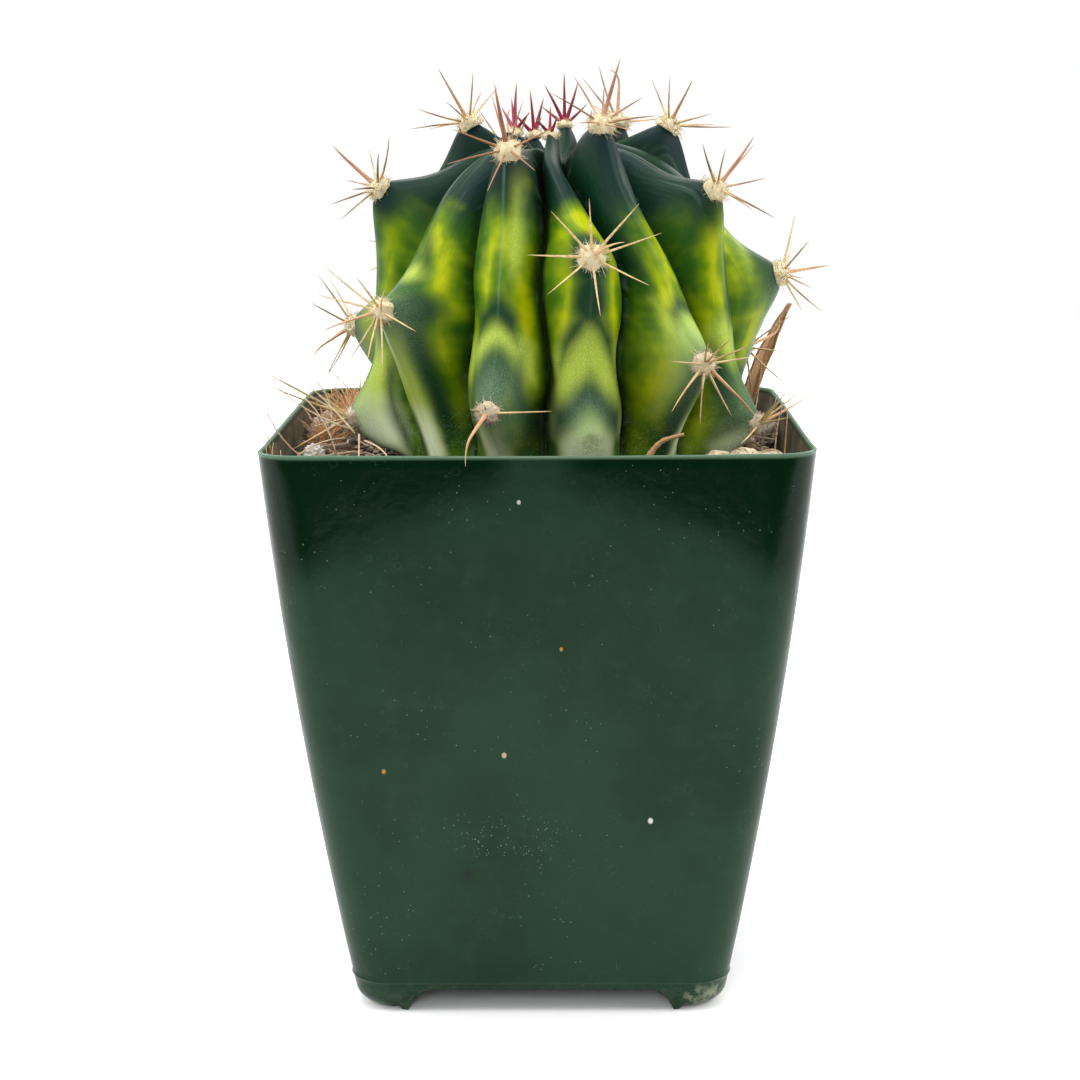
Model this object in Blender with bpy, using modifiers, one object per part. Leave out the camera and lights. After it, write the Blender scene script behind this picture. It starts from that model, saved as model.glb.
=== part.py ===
"""A potted barrel cactus: one ribbed stem with hooked spines, standing in gritty soil in a square pot.

Metres, +Z up. The origin is on the ground under the pot's centre and the front faces -Y.
Azimuths are in degrees, 0 towards the front and growing to the right.
"""
import math
import random

import bmesh
import bpy
from mathutils import Matrix, Vector

MM = 0.001
SEED = 13
GAP = 0.3 * MM

# Pot
RIM_WIDTH = 95.0 * MM
POT_HEIGHT = 104.0 * MM
BASE_WIDTH = 68.9 * MM
SEAM_HEIGHT = 5.9 * MM
WALL_BOW = 4.3 * MM
WALL = 0.8 * MM
CORNER_RADIUS = 7.5 * MM
CORNER_SEGMENTS = 5
PLAIN_SIDE = 0.8
FLOOR_BOTTOM = 4.6 * MM
FLOOR_TOP = 5.5 * MM
FOOT_ROUND = 3.0 * MM
WALL_LEVELS = 4
ARCH_HALF_TOP = 16.3 * MM
ARCH_RUN = 7.6 * MM
ARCH_STEPS = 5
FOOT_POCKET_NEAR = 21.5 * MM
FOOT_POCKET_FAR = 29.5 * MM
FOOT_POCKET_FLOOR = 1.3 * MM
DRAIN_RADIUS = 2.6 * MM
DRAIN_RING = 11.0 * MM

# Stem: a barrel whose meridian is half an ellipse above its widest line and a longer half below it
STEM_X = 4.0 * MM
STEM_Y = 0.0
WAIST_HEIGHT = 122.0 * MM
CREST_RADIUS = 34.0 * MM
CREST_RISE = 35.0 * MM
CREST_FALL = 45.0 * MM
GROOVE_DEPTH = 6.5 * MM
GROOVE_SHARPNESS = 2.6
GROOVE_SWAY = 2.4
CROWN_HOLLOW = 6.0 * MM
CROWN_HOLLOW_RADIUS = 9.5 * MM
ROW_STEP = 4
LOWEST_ROW = -36
HIGHEST_ROW = 88
RIBS_FADE_FROM = -24
ACROSS_RIB = (-1.0, -0.64, -0.30, 0.0, 0.30, 0.64)
ROOT_PROFILE = ((26.0 * MM, 91.0 * MM), (15.0 * MM, 82.0 * MM), (6.0 * MM, 72.0 * MM), (3.0 * MM, 58.0 * MM))

# Tubercles: each rib carries one in its lower half and one near the crown, out of step with its neighbours
# Each place is an azimuth and an angle up the barrel, in degrees
LOWER_TUBERCLES = ((8, 20), (37, -5), (65, -19.5), (88, 12), (119, -8), (145, 24), (171, 4),
                   (198, -16), (226, 16), (253, -2), (272, -20), (311, 6), (342, -13.5))
UPPER_TUBERCLES = ((-12, 78), (22, 62), (55, 36.5), (92, 82), (111, 59), (140, 66), (176, 71),
                   (198, 44), (218, 79), (262, 66), (283, 36.5), (304, 76), (341, 49.5))
BURIED_TUBERCLES = {0: -20, 5: -24}
RIBS = len(LOWER_TUBERCLES)
NOSE_LENGTH = 7.6 * MM
NOSE_ABOVE = 5.6 * MM
NOSE_BELOW = 9.0 * MM
NOSE_ACROSS = 5.2 * MM
NOSE_POWER = 1.75
NOSE_LEAN = 0.9
YOUNG_FROM = 70
SEAT_DEPTH = 0.9 * MM
SEAT_CUTTER_RADIUS = 4.5 * MM

# Areole clusters
PAD_RADIUS = 2.4 * MM
PAD_HEIGHT = 1.9 * MM
SPINE_ROOT_RADIUS = 0.34 * MM
SPINE_TIP_RADIUS = 0.07 * MM
SPINE_SIDES = 3
RADIAL_COUNT = 8
RADIAL_LENGTH = 11.5
RADIAL_TILT = 66
LEAST_TILT = 20
TILT_STEP = 8
CENTRAL_RADIUS = 0.46 * MM
CENTRAL_CURL = 5
HOOK_FROM = 0.6
HOOK_CUTS = (0.6, 0.75, 0.875)
PLAIN_CUTS = (0.5,)
PLAIN_CENTRAL = (11.0, 24, 0, 95)
# A cluster's stout central spine: length in millimetres, tilt, clock and hook, by rib and tier
CENTRALS = {
    (0, "lower"): (9.0, 16, 80, 95),
    (1, "lower"): (13.0, 57, 141, 10),
    (2, "lower"): (12.0, 58, 45, 0),
    (3, "lower"): (9.6, 14, 100, 0),
    (6, "lower"): (10.0, 8, 0, 10),
    (9, "lower"): (12.0, 50, 126, 60),
    (10, "lower"): (13.0, 28, 110, 0),
    (11, "lower"): (10.5, 26, 225, 15),
    (12, "lower"): (14.5, 6, 178, 70),
    (1, "upper"): (12.5, 46, 29, 8),
    (2, "upper"): (11.0, 30, 40, 10),
    (4, "upper"): (12.0, 50, 296, 10),
    (9, "upper"): (12.5, 28, 80, 10),
    (10, "upper"): (11.3, 18, 300, 10),
    (12, "upper"): (11.5, 38, 345, 10),
}
# The radials of the clusters that face the front: length in millimetres, tilt and clock
RADIALS = {
    (0, "lower"): ((12.0, 77, 268), (11.5, 56, 310), (11.5, 41, 350), (12.0, 56, 45), (12.5, 70, 77),
                   (12.0, 67, 127), (12.0, 74, 179), (12.0, 73, 229)),
    (1, "lower"): ((11.5, 52, 311), (11.5, 39, 333), (11.5, 27, 7), (11.5, 80, 85), (12.0, 71, 280),
                   (12.5, 82, 235), (12.0, 65, 211), (10.0, 65, 165)),
    (2, "lower"): ((11.5, 71, 315), (11.5, 62, 335), (11.5, 52, 305), (12.0, 80, 263), (11.5, 78, 245),
                   (10.5, 62, 20)),
    (3, "lower"): ((11.5, 67, 67), (12.0, 61, 301), (11.5, 75, 139), (11.5, 64, 20), (11.5, 66, 220),
                   (11.5, 66, 255), (11.5, 70, 104)),
    (9, "lower"): ((12.0, 64, 190), (11.5, 66, 20), (11.5, 66, 62), (11.5, 64, 240), (11.5, 66, 285),
                   (11.5, 64, 330), (11.5, 66, 155)),
    (10, "lower"): ((22.0, 49, 24), (20.5, 47, 33), (12.5, 55, 12), (11.5, 72, 217), (11.5, 66, 150),
                    (11.5, 60, 80), (11.5, 64, 290)),
    (11, "lower"): ((13.0, 58, 308), (11.5, 42, 40), (11.5, 55, 66), (12.0, 60, 281), (14.0, 80, 101),
                    (12.0, 72, 142), (11.5, 59, 160), (11.5, 66, 195)),
    (12, "lower"): ((12.5, 80, 83), (12.0, 61, 122), (3.0, 60, 300), (3.0, 50, 10)),
    (0, "upper"): ((5.0, 25, 0), (4.5, 35, 120), (4.5, 35, 240)),
    (1, "upper"): ((11.5, 73, 349), (11.0, 78, 20), (11.5, 79, 59), (11.5, 52, 139), (11.5, 59, 176),
                   (11.0, 60, 230), (11.0, 62, 285)),
    (2, "upper"): ((11.5, 62, 304), (11.5, 43, 290), (11.5, 61, 60), (11.5, 76, 94), (11.5, 52, 210),
                   (11.5, 64, 150)),
    (3, "upper"): ((5.0, 20, 0), (4.0, 40, 120), (4.0, 40, 240)),
    (4, "upper"): ((11.5, 53, 57), (11.5, 67, 318), (11.5, 71, 262), (11.5, 55, 158), (11.5, 64, 110),
                   (11.5, 62, 210)),
    (5, "upper"): ((11.0, 58, 10), (11.0, 56, 55), (10.5, 60, 100), (11.0, 60, 145), (11.0, 62, 190)),
    (6, "upper"): ((9.7, 26, 0), (8.5, 42, 35), (8.5, 40, 325), (6.0, 50, 90), (6.0, 50, 270)),
    (8, "upper"): ((8.2, 22, 20), (7.0, 28, 330), (5.5, 45, 90), (5.5, 45, 250)),
    (9, "upper"): ((12.0, 59, 50), (11.5, 62, 290), (11.5, 70, 310), (11.5, 64, 125), (11.5, 68, 221),
                   (11.5, 63, 90), (11.0, 62, 180)),
    (10, "upper"): ((11.5, 65, 64), (11.5, 71, 300), (11.5, 77, 40), (11.5, 63, 108), (11.5, 71, 142),
                    (11.5, 66, 228), (11.5, 66, 262)),
    (11, "upper"): ((8.8, 22, 350), (6.5, 55, 290), (6.5, 35, 320), (5.0, 50, 60)),
    (12, "upper"): ((10.0, 63, 271), (12.0, 63, 224), (12.0, 76, 180), (11.5, 68, 135), (11.5, 62, 92),
                    (11.5, 79, 335), (10.0, 80, 5)),
}

# Soil and what lies on it
SOIL_TOP = 96.2 * MM
SOIL_RELIEF = 0.9 * MM
SOIL_CELLS = 18
SPOT_MARGIN = 4.5 * MM
LITTER_HEIGHT = 5.5 * MM
RIM_CLEARANCE = 2.5 * MM

# Loose pieces: name, place, and length, width and height, all in millimetres
STONES = (
    ("stone_pumice", 36.0, -29.5, 12.0, 9.5, 4.6),
    ("stone_pale", 26.5, -41.0, 5.0, 4.5, 4.0),
    ("stone_red", 42.5, 17.0, 5.5, 5.0, 4.5),
    ("stone_gravel", -35.0, 13.0, 8.0, 6.5, 6.0),
    ("stone_small", -42.0, 34.0, 4.5, 4.0, 4.0),
    ("stone_mauve", -42.8, 20.0, 4.0, 4.5, 4.0),
    ("stone_back", 24.0, 40.5, 8.0, 6.5, 5.0),
    ("stone_side", -12.0, 41.5, 6.0, 5.5, 4.0),
    ("perlite_left", -42.0, -4.0, 3.2, 2.8, 2.6),
    ("perlite_front", 1.5, -43.0, 2.6, 2.6, 2.6),
    ("perlite_back", 8.0, 43.0, 3.4, 3.0, 2.6),
)
BARK_CHIPS = (
    ("bark_left", -38.5, 2.0, 7.0, 3.6, 2.2, 35),
    ("bark_front", -26.5, -35.5, 8.0, 3.8, 2.4, -25),
    ("bark_back", 38.0, 36.0, 9.0, 4.0, 2.4, 60),
)
TUFTS = (
    ("coir_back", -36.5, 38.0, 5.0, 8.5, 15),
    ("coir_left", -39.0, 27.0, 3.0, 6.0, 12),
    ("moss_left", -40.5, 8.5, 2.2, 5.5, 10),
)
STONE_ROUGHNESS = 0.16
TUFT_FIBRE_RADIUS = 0.28 * MM
HUSK_BASE = (40.5 * MM, 27.0 * MM)
HUSK_LEAN = (8.5 * MM, -1.0 * MM)
HUSK_HEIGHT = 26.5 * MM
HUSK_HALF_WIDTH = 2.2 * MM
HUSK_THICKNESS = 0.7 * MM
HUSK_SEGMENTS = 7
SET_IN_SOIL = 4.0 * MM
STRAW_RADIUS = 0.55 * MM
STRAW_ROUTE = ((17.0, -38.0, 92.5), (17.4, -38.0, 99.5), (19.8, -38.2, 103.6), (21.4, -38.4, 105.2),
               (25.0, -38.6, 106.2))
HOLE_RADIUS = 1.5 * MM
MOAT_RADIUS = 33.0 * MM
MOAT_WIDTH = 9.0 * MM
MOAT_DEPTH = 1.2 * MM

POT_GREEN = (0.010, 0.035, 0.018, 1)
FLESH_GREEN = (0.10, 0.17, 0.02, 1)
SPINE_TAN = (0.55, 0.33, 0.18, 1)
SPINE_CRIMSON = (0.30, 0.01, 0.06, 1)
SOIL_BROWN = (0.035, 0.020, 0.012, 1)
STONE_TAN = (0.42, 0.33, 0.24, 1)
STONE_GREY = (0.30, 0.29, 0.27, 1)
PERLITE_WHITE = (0.80, 0.79, 0.75, 1)
BARK_BROWN = (0.24, 0.15, 0.08, 1)
COIR_ORANGE = (0.45, 0.22, 0.07, 1)
STRAW_TAN = (0.62, 0.40, 0.20, 1)


def new_collection(name):
    collection = bpy.data.collections.new(name)
    bpy.context.scene.collection.children.link(collection)
    return collection


def material(name, colour, roughness):
    found = bpy.data.materials.get(name)
    if found:
        return found
    made = bpy.data.materials.new(name)
    made.use_nodes = True
    shader = made.node_tree.nodes["Principled BSDF"]
    shader.inputs["Base Color"].default_value = colour
    shader.inputs["Roughness"].default_value = roughness
    shader.inputs["Metallic"].default_value = 0.0
    return made


def add_object(name, mesh, collection, finish=None):
    piece = bpy.data.objects.new(name, mesh)
    collection.objects.link(piece)
    if finish:
        mesh.materials.clear()
        mesh.materials.append(finish)
    return piece


def mesh_from(name, bm):
    """Turn a bmesh into a mesh with its faces pointing out."""
    bmesh.ops.recalc_face_normals(bm, faces=bm.faces)
    mesh = bpy.data.meshes.new(name)
    bm.to_mesh(mesh)
    bm.free()
    return mesh


def cutter(name, bm):
    tool = add_object(name, mesh_from(name, bm), CUTTERS)
    tool.hide_render = True
    tool.display_type = "WIRE"
    return tool


def evaluated_copy(piece):
    """The piece's mesh with its modifiers applied, in world space."""
    graph = bpy.context.evaluated_depsgraph_get()
    mesh = bpy.data.meshes.new_from_object(piece.evaluated_get(graph))
    mesh.transform(piece.matrix_world)
    return mesh


def combine(piece, tools, operation):
    """Join the tools to the piece, or cut them from it, in one Boolean, then remove them."""
    holder = new_collection(piece.name + "_tools")
    for tool in tools:
        for owner in tool.users_collection:
            owner.objects.unlink(tool)
        holder.objects.link(tool)
    boolean = piece.modifiers.new("combine", "BOOLEAN")
    boolean.operation = operation
    boolean.operand_type = "COLLECTION"
    boolean.collection = holder
    boolean.solver = "EXACT"
    bpy.context.view_layer.update()
    mesh = evaluated_copy(piece)
    piece.modifiers.remove(boolean)
    old = piece.data
    materials = list(old.materials)
    piece.data = mesh
    mesh.materials.clear()
    for finish in materials:
        mesh.materials.append(finish)
    bpy.data.meshes.remove(old)
    for tool in list(holder.objects):
        bpy.data.objects.remove(tool)
    bpy.data.collections.remove(holder)


# The pot

def wall_half_width(height):
    """Half the outer width: a straight taper from the seam to the rim, bowed out a little half way up."""
    share = (height - SEAM_HEIGHT) / (POT_HEIGHT - SEAM_HEIGHT)
    half = BASE_WIDTH / 2 + (RIM_WIDTH - BASE_WIDTH) / 2 * share + WALL_BOW * share * (1 - share)
    if height < FOOT_ROUND:
        half -= FOOT_ROUND - math.sqrt(FOOT_ROUND ** 2 - (FOOT_ROUND - height) ** 2)
    return half


def tapered_block(heights, inset):
    """A cube with rounded upright edges, cut at the given heights and drawn to the pot's outline at each."""
    bm = bmesh.new()
    bmesh.ops.create_cube(bm, size=2.0)
    upright = [edge for edge in bm.edges if abs(edge.verts[0].co.z - edge.verts[1].co.z) > 1.0]
    bmesh.ops.bevel(bm, geom=upright, offset=1.0 - PLAIN_SIDE, offset_type="OFFSET",
                    segments=CORNER_SEGMENTS, profile=0.5, affect="EDGES")
    low, high = heights[0], heights[-1]
    for vert in bm.verts:
        vert.co.z = low if vert.co.z < 0 else high
    for height in heights[1:-1]:
        whole = bm.verts[:] + bm.edges[:] + bm.faces[:]
        bmesh.ops.bisect_plane(bm, geom=whole, dist=1e-7, plane_co=(0, 0, height), plane_no=(0, 0, 1))
    radius = CORNER_RADIUS - inset
    for vert in bm.verts:
        half = wall_half_width(vert.co.z) - inset
        for axis in (0, 1):
            into_corner = (abs(vert.co[axis]) - PLAIN_SIDE) / (1.0 - PLAIN_SIDE)
            vert.co[axis] = math.copysign(half - radius + radius * into_corner, vert.co[axis])
    return bm


def spread(low, high, count):
    return [low + (high - low) * step / count for step in range(count + 1)]


def arch_cutter(name, turn):
    """A low arch cut right through under the floor, its sides quarter ellipses down to the ground."""
    outline = []
    for step in range(ARCH_STEPS + 1):
        angle = math.pi / 2 * step / ARCH_STEPS
        across = ARCH_HALF_TOP + ARCH_RUN * (1 - math.cos(angle))
        outline.append((across, FLOOR_BOTTOM * (1 - math.sin(angle))))
    outline.append((ARCH_HALF_TOP + ARCH_RUN, -FLOOR_BOTTOM))
    outline += [(-across, height) for across, height in reversed(outline)]
    curve = bpy.data.curves.new(name, "CURVE")
    curve.dimensions = "2D"
    curve.fill_mode = "BOTH"
    curve.extrude = RIM_WIDTH / 2
    spline = curve.splines.new("POLY")
    spline.points.add(len(outline) - 1)
    for point, (across, height) in zip(spline.points, outline):
        point.co = (across, height, 0, 1)
    spline.use_cyclic_u = True
    drawn = bpy.data.objects.new(name, curve)
    CUTTERS.objects.link(drawn)
    drawn.matrix_world = Matrix.Rotation(turn, 4, "Z") @ Matrix.Rotation(math.pi / 2, 4, "X")
    bpy.context.view_layer.update()
    mesh = evaluated_copy(drawn)
    bpy.data.objects.remove(drawn)
    bm = bmesh.new()
    bm.from_mesh(mesh)
    bpy.data.meshes.remove(mesh)
    bmesh.ops.remove_doubles(bm, verts=bm.verts, dist=1e-6)
    return cutter(name, bm)


def cylinder_cutter(name, centre, radius, low, high, sides=12):
    bm = bmesh.new()
    bmesh.ops.create_cone(bm, cap_ends=True, segments=sides, radius1=radius, radius2=radius, depth=high - low)
    bmesh.ops.translate(bm, vec=(centre[0], centre[1], (low + high) / 2), verts=bm.verts)
    return cutter(name, bm)


def foot_pocket(name, side_x, side_y):
    """The hollow of one foot, open to the inside of the pot."""
    bm = bmesh.new()
    bmesh.ops.create_cube(bm, size=FOOT_POCKET_FAR - FOOT_POCKET_NEAR)
    middle = (FOOT_POCKET_FAR + FOOT_POCKET_NEAR) / 2
    half = (FOOT_POCKET_FAR - FOOT_POCKET_NEAR) / 2
    bmesh.ops.translate(bm, vec=(side_x * middle, side_y * middle, FOOT_POCKET_FLOOR + half), verts=bm.verts)
    return cutter(name, bm)


def make_pot():
    shell = spread(SEAM_HEIGHT, POT_HEIGHT, WALL_LEVELS)
    outer = tapered_block([0.0, 0.3 * FOOT_ROUND, FOOT_ROUND] + shell, 0.0)
    finish = material("pot_plastic", POT_GREEN, 0.35)
    pot = add_object("pot", mesh_from("pot", outer), PARTS, finish)
    inside = tapered_block([FLOOR_TOP] + shell[1:-1] + [POT_HEIGHT + 5 * MM], WALL)
    tools = [cutter("pot_inside", inside), arch_cutter("arch_x", 0.0), arch_cutter("arch_y", math.pi / 2)]
    for side_x in (-1, 1):
        for side_y in (-1, 1):
            tools.append(foot_pocket("foot_pocket", side_x, side_y))
    holes = [(0, 0), (DRAIN_RING, 0), (-DRAIN_RING, 0), (0, DRAIN_RING), (0, -DRAIN_RING)]
    for hole in holes:
        tools.append(cylinder_cutter("drain", hole, DRAIN_RADIUS, 0, SEAM_HEIGHT + 2 * MM))
    combine(pot, tools, "DIFFERENCE")
    pot.data.shade_smooth()
    pot.data.set_sharp_from_angle(angle=math.radians(35))


# The stem

def meridian(angle):
    """The crest's radius and height at an angle up the barrel, its crown sunk a little."""
    turn = math.radians(angle)
    rise = CREST_RISE if angle >= 0 else CREST_FALL
    radius = CREST_RADIUS * math.cos(turn)
    hollow = CROWN_HOLLOW * math.exp(-(radius / CROWN_HOLLOW_RADIUS) ** 2)
    return radius, WAIST_HEIGHT + rise * math.sin(turn) - hollow


def smooth(low, high, value):
    share = min(1.0, max(0.0, (value - low) / (high - low)))
    return share * share * (3 - 2 * share)


def tubercles(rib):
    """The angles up the barrel of a rib's tubercles, the buried one last."""
    angles = [LOWER_TUBERCLES[rib][1], UPPER_TUBERCLES[rib][1]]
    if rib in BURIED_TUBERCLES:
        angles.append(BURIED_TUBERCLES[rib])
    return angles


def crest_azimuth(rib, angle):
    """A rib runs from its lower tubercle to its upper one in an S-shaped ease."""
    turns, rib = divmod(rib, RIBS)
    low_azimuth, low_angle = LOWER_TUBERCLES[rib]
    high_azimuth, high_angle = UPPER_TUBERCLES[rib]
    share = smooth(low_angle, high_angle, angle)
    return low_azimuth + near_turn(high_azimuth - low_azimuth) * share + 360 * turns


def near_turn(degrees):
    return (degrees + 180) % 360 - 180


def nose_size(angle):
    """Tubercles shrink towards the crown, where they are young."""
    return 1.0 - 0.5 * smooth(54, 80, angle)


def nose_profile(angle, centre):
    """How far along its length a tubercle stands out at a place up or down its rib."""
    radius = CREST_RISE if centre >= 0 else CREST_FALL
    along = math.radians(angle - centre) * (radius + CREST_RADIUS) / 2
    reach = (NOSE_ABOVE if along > 0 else NOSE_BELOW) * nose_size(centre)
    return abs(along) / reach


def areole_direction(rib, angle):
    """Outwards from the rib's crest, and up by most of the tubercle's angle up the barrel."""
    lean = math.radians(angle * NOSE_LEAN)
    turn = math.radians(crest_azimuth(rib, angle))
    outward = Vector((math.sin(turn), -math.cos(turn), 0))
    return (outward * math.cos(lean) + Vector((0, 0, math.sin(lean)))).normalized()


def groove_azimuth(rib, angle):
    """The groove on a rib's right side lies half way to the next, pushed aside by the tubercles."""
    push = 0.0
    for centre in tubercles(rib % RIBS):
        push += math.exp(-nose_profile(angle, centre) ** 2)
    for centre in tubercles((rib + 1) % RIBS):
        push -= math.exp(-nose_profile(angle, centre) ** 2)
    middle = (crest_azimuth(rib, angle) + crest_azimuth(rib + 1, angle)) / 2
    return middle + GROOVE_SWAY * push * smooth(80, 60, angle)


def around_stem(azimuth, radius, height):
    turn = math.radians(azimuth)
    return Vector((STEM_X + radius * math.sin(turn), STEM_Y - radius * math.cos(turn), height))


def stem_point(rib, across, angle):
    """A point of the skin: a rounded rib between two grooves, with each tubercle drawn out along its axis."""
    crest = crest_azimuth(rib, angle)
    edge = groove_azimuth(rib, angle) if across >= 0 else groove_azimuth(rib - 1, angle)
    azimuth = crest + (edge - crest) * abs(across)
    radius, height = meridian(angle)
    strength = smooth(LOWEST_ROW, RIBS_FADE_FROM, angle) * smooth(90, 70, angle)
    depth = GROOVE_DEPTH * strength * abs(across) ** GROOVE_SHARPNESS
    radius -= depth * math.cos(math.radians(angle))
    height -= depth * math.sin(math.radians(angle))
    point = around_stem(azimuth, radius, height)
    for centre in tubercles(rib):
        size = nose_size(centre)
        sideways = math.radians(azimuth - crest) * radius / (NOSE_ACROSS * size)
        away = math.hypot(nose_profile(angle, centre), sideways)
        fade = (1.0 - smooth(0.75, 1.0, abs(across))) * smooth(LOWEST_ROW, LOWEST_ROW + 8, angle)
        stand_out = NOSE_LENGTH * size * math.exp(-away ** NOSE_POWER) * fade
        point += areole_direction(rib, centre) * stand_out
    return point


def nose_tip(rib, angle):
    radius, height = meridian(angle)
    start = around_stem(crest_azimuth(rib, angle), radius, height)
    return start + areole_direction(rib, angle) * NOSE_LENGTH * nose_size(angle)


def make_stem():
    """Turn the meridian with a Screw, then move each of its points to its place on the ribbed skin."""
    rows = list(range(HIGHEST_ROW, LOWEST_ROW - 1, -ROW_STEP))
    apex = meridian(90)[1]
    profile = [(0.0, apex)] + [meridian(row) for row in rows] + list(ROOT_PROFILE)
    profile.append((0.0, ROOT_PROFILE[-1][1] - 2 * MM))
    mesh = bpy.data.meshes.new("stem_profile")
    points = [(radius, 0.0, height) for radius, height in profile]
    mesh.from_pydata(points, [(step, step + 1) for step in range(len(points) - 1)], [])
    drawn = add_object("stem_profile", mesh, PARTS)
    columns = RIBS * len(ACROSS_RIB)
    screw = drawn.modifiers.new("turn", "SCREW")
    screw.steps = columns
    screw.render_steps = columns
    screw.use_merge_vertices = True
    screw.merge_threshold = 0.00005
    bpy.context.view_layer.update()
    turned = evaluated_copy(drawn)
    bpy.data.objects.remove(drawn)
    heights = [point[1] for point in profile]
    for vert in turned.vertices:
        radius = math.hypot(vert.co.x, vert.co.y)
        row = min(range(len(heights)), key=lambda index: abs(heights[index] - vert.co.z))
        column = round(math.atan2(vert.co.y, vert.co.x) / (2 * math.pi) * columns) % columns
        rib, place = divmod(column, len(ACROSS_RIB))
        if 1 <= row <= len(rows):
            vert.co = stem_point(rib, ACROSS_RIB[place], rows[row - 1])
        else:
            vert.co = around_stem(column * 360 / columns, radius, vert.co.z)
    bm = bmesh.new()
    bm.from_mesh(turned)
    bpy.data.meshes.remove(turned)
    stem = add_object("cactus_stem", mesh_from("cactus_stem", bm), PARTS,
                      material("cactus_skin", FLESH_GREEN, 0.45))
    seats = []
    for rib in range(RIBS):
        seats.append(seat_cutter(rib, LOWER_TUBERCLES[rib][1]))
        seats.append(seat_cutter(rib, UPPER_TUBERCLES[rib][1]))
    combine(stem, seats, "DIFFERENCE")
    stem.data.shade_smooth()
    stem.data.set_sharp_from_angle(angle=math.radians(50))


def frame_at(origin, normal):
    """A frame whose Z is the normal and whose Y is as upright as it can be, so X is to the viewer's right."""
    upright = Vector((0, 0, 1)) - normal * normal.z
    upright.normalize()
    right = upright.cross(normal)
    turn = Matrix((right, upright, normal)).transposed().to_4x4()
    return Matrix.Translation(origin) @ turn


def seat_cutter(rib, angle):
    """A short block that takes a tubercle's tip off flat, where its areole sits."""
    normal = areole_direction(rib, angle)
    origin = nose_tip(rib, angle) - normal * SEAT_DEPTH
    bm = bmesh.new()
    bmesh.ops.create_cone(bm, cap_ends=True, segments=8, radius1=SEAT_CUTTER_RADIUS,
                          radius2=SEAT_CUTTER_RADIUS, depth=2 * MM)
    bmesh.ops.translate(bm, vec=(0, 0, 1 * MM), verts=bm.verts)
    bmesh.ops.transform(bm, matrix=frame_at(origin, normal), verts=bm.verts)
    return cutter("seat", bm)


# The areole clusters

def spine_axis(share, length, curl, hook):
    """A place on a spine's bent axis and the way it points there: it curls evenly, and hooks near its end."""
    place = Vector((0, 0, 0))
    swing = 0.0
    steps = 40
    for step in range(round(share * steps)):
        along = (step + 0.5) / steps
        late = max(0.0, along - HOOK_FROM) / (1 - HOOK_FROM)
        swing = math.radians(curl * along + hook * late)
        place += Vector((0, math.sin(swing), math.cos(swing))) * length / steps
    return place, swing


def make_spine(name, length, root_radius, tilt, clock, curl, hook, seat):
    """A slim cone, cut across and bent along its axis, that leans by tilt to its clock side."""
    bm = bmesh.new()
    bmesh.ops.create_cone(bm, cap_ends=True, segments=SPINE_SIDES, radius1=root_radius,
                          radius2=SPINE_TIP_RADIUS, depth=1.0)
    bmesh.ops.translate(bm, vec=(0, 0, 0.5), verts=bm.verts)
    for share in HOOK_CUTS if hook else PLAIN_CUTS:
        whole = bm.verts[:] + bm.edges[:] + bm.faces[:]
        bmesh.ops.bisect_plane(bm, geom=whole, dist=1e-7, plane_co=(0, 0, share), plane_no=(0, 0, 1))
    for vert in bm.verts:
        place, swing = spine_axis(vert.co.z, length, curl, hook)
        side = Vector((vert.co.x, vert.co.y * math.cos(swing), -vert.co.y * math.sin(swing)))
        vert.co = place + side
    lean = Matrix.Rotation(math.radians(-clock), 4, "Z") @ Matrix.Rotation(-math.radians(tilt), 4, "X")
    bmesh.ops.transform(bm, matrix=seat @ lean, verts=bm.verts)
    return cutter(name, bm)


def make_pad(name, seat, size, finish):
    """A flat-bottomed dome of wool."""
    bm = bmesh.new()
    bmesh.ops.create_uvsphere(bm, u_segments=8, v_segments=6, radius=1.0)
    for vert in bm.verts:
        vert.co.x *= PAD_RADIUS * size
        vert.co.y *= PAD_RADIUS * size * 0.92
        vert.co.z = max(vert.co.z, -0.05) * PAD_HEIGHT * size
    bmesh.ops.dissolve_limit(bm, angle_limit=math.radians(1), verts=bm.verts, edges=bm.edges)
    bmesh.ops.transform(bm, matrix=seat, verts=bm.verts)
    return add_object(name, mesh_from(name, bm), PARTS, finish)


def clear_of_pot(seat, tilt, clock, length, curl, hook):
    """Whether a spine stays above the litter on the soil and inside the rim, or passes over it."""
    lean = Matrix.Rotation(math.radians(-clock), 4, "Z") @ Matrix.Rotation(-math.radians(tilt), 4, "X")
    for share in (0.4, 0.6, 0.8, 1.0):
        place, _ = spine_axis(share, length, curl, hook)
        place = seat @ lean @ place
        near_wall = max(abs(place.x), abs(place.y)) > RIM_WIDTH / 2 - 3 * MM
        if place.z < SOIL_TOP + LITTER_HEIGHT or (near_wall and place.z < POT_HEIGHT + RIM_CLEARANCE):
            return False
    return True


def raised(seat, tilt, clock, length, curl, hook):
    """A spine's tilt, made less until it passes clear of the pot and the soil."""
    while tilt > LEAST_TILT and not clear_of_pot(seat, tilt, clock, length, curl, hook):
        tilt -= TILT_STEP
    return tilt


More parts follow.
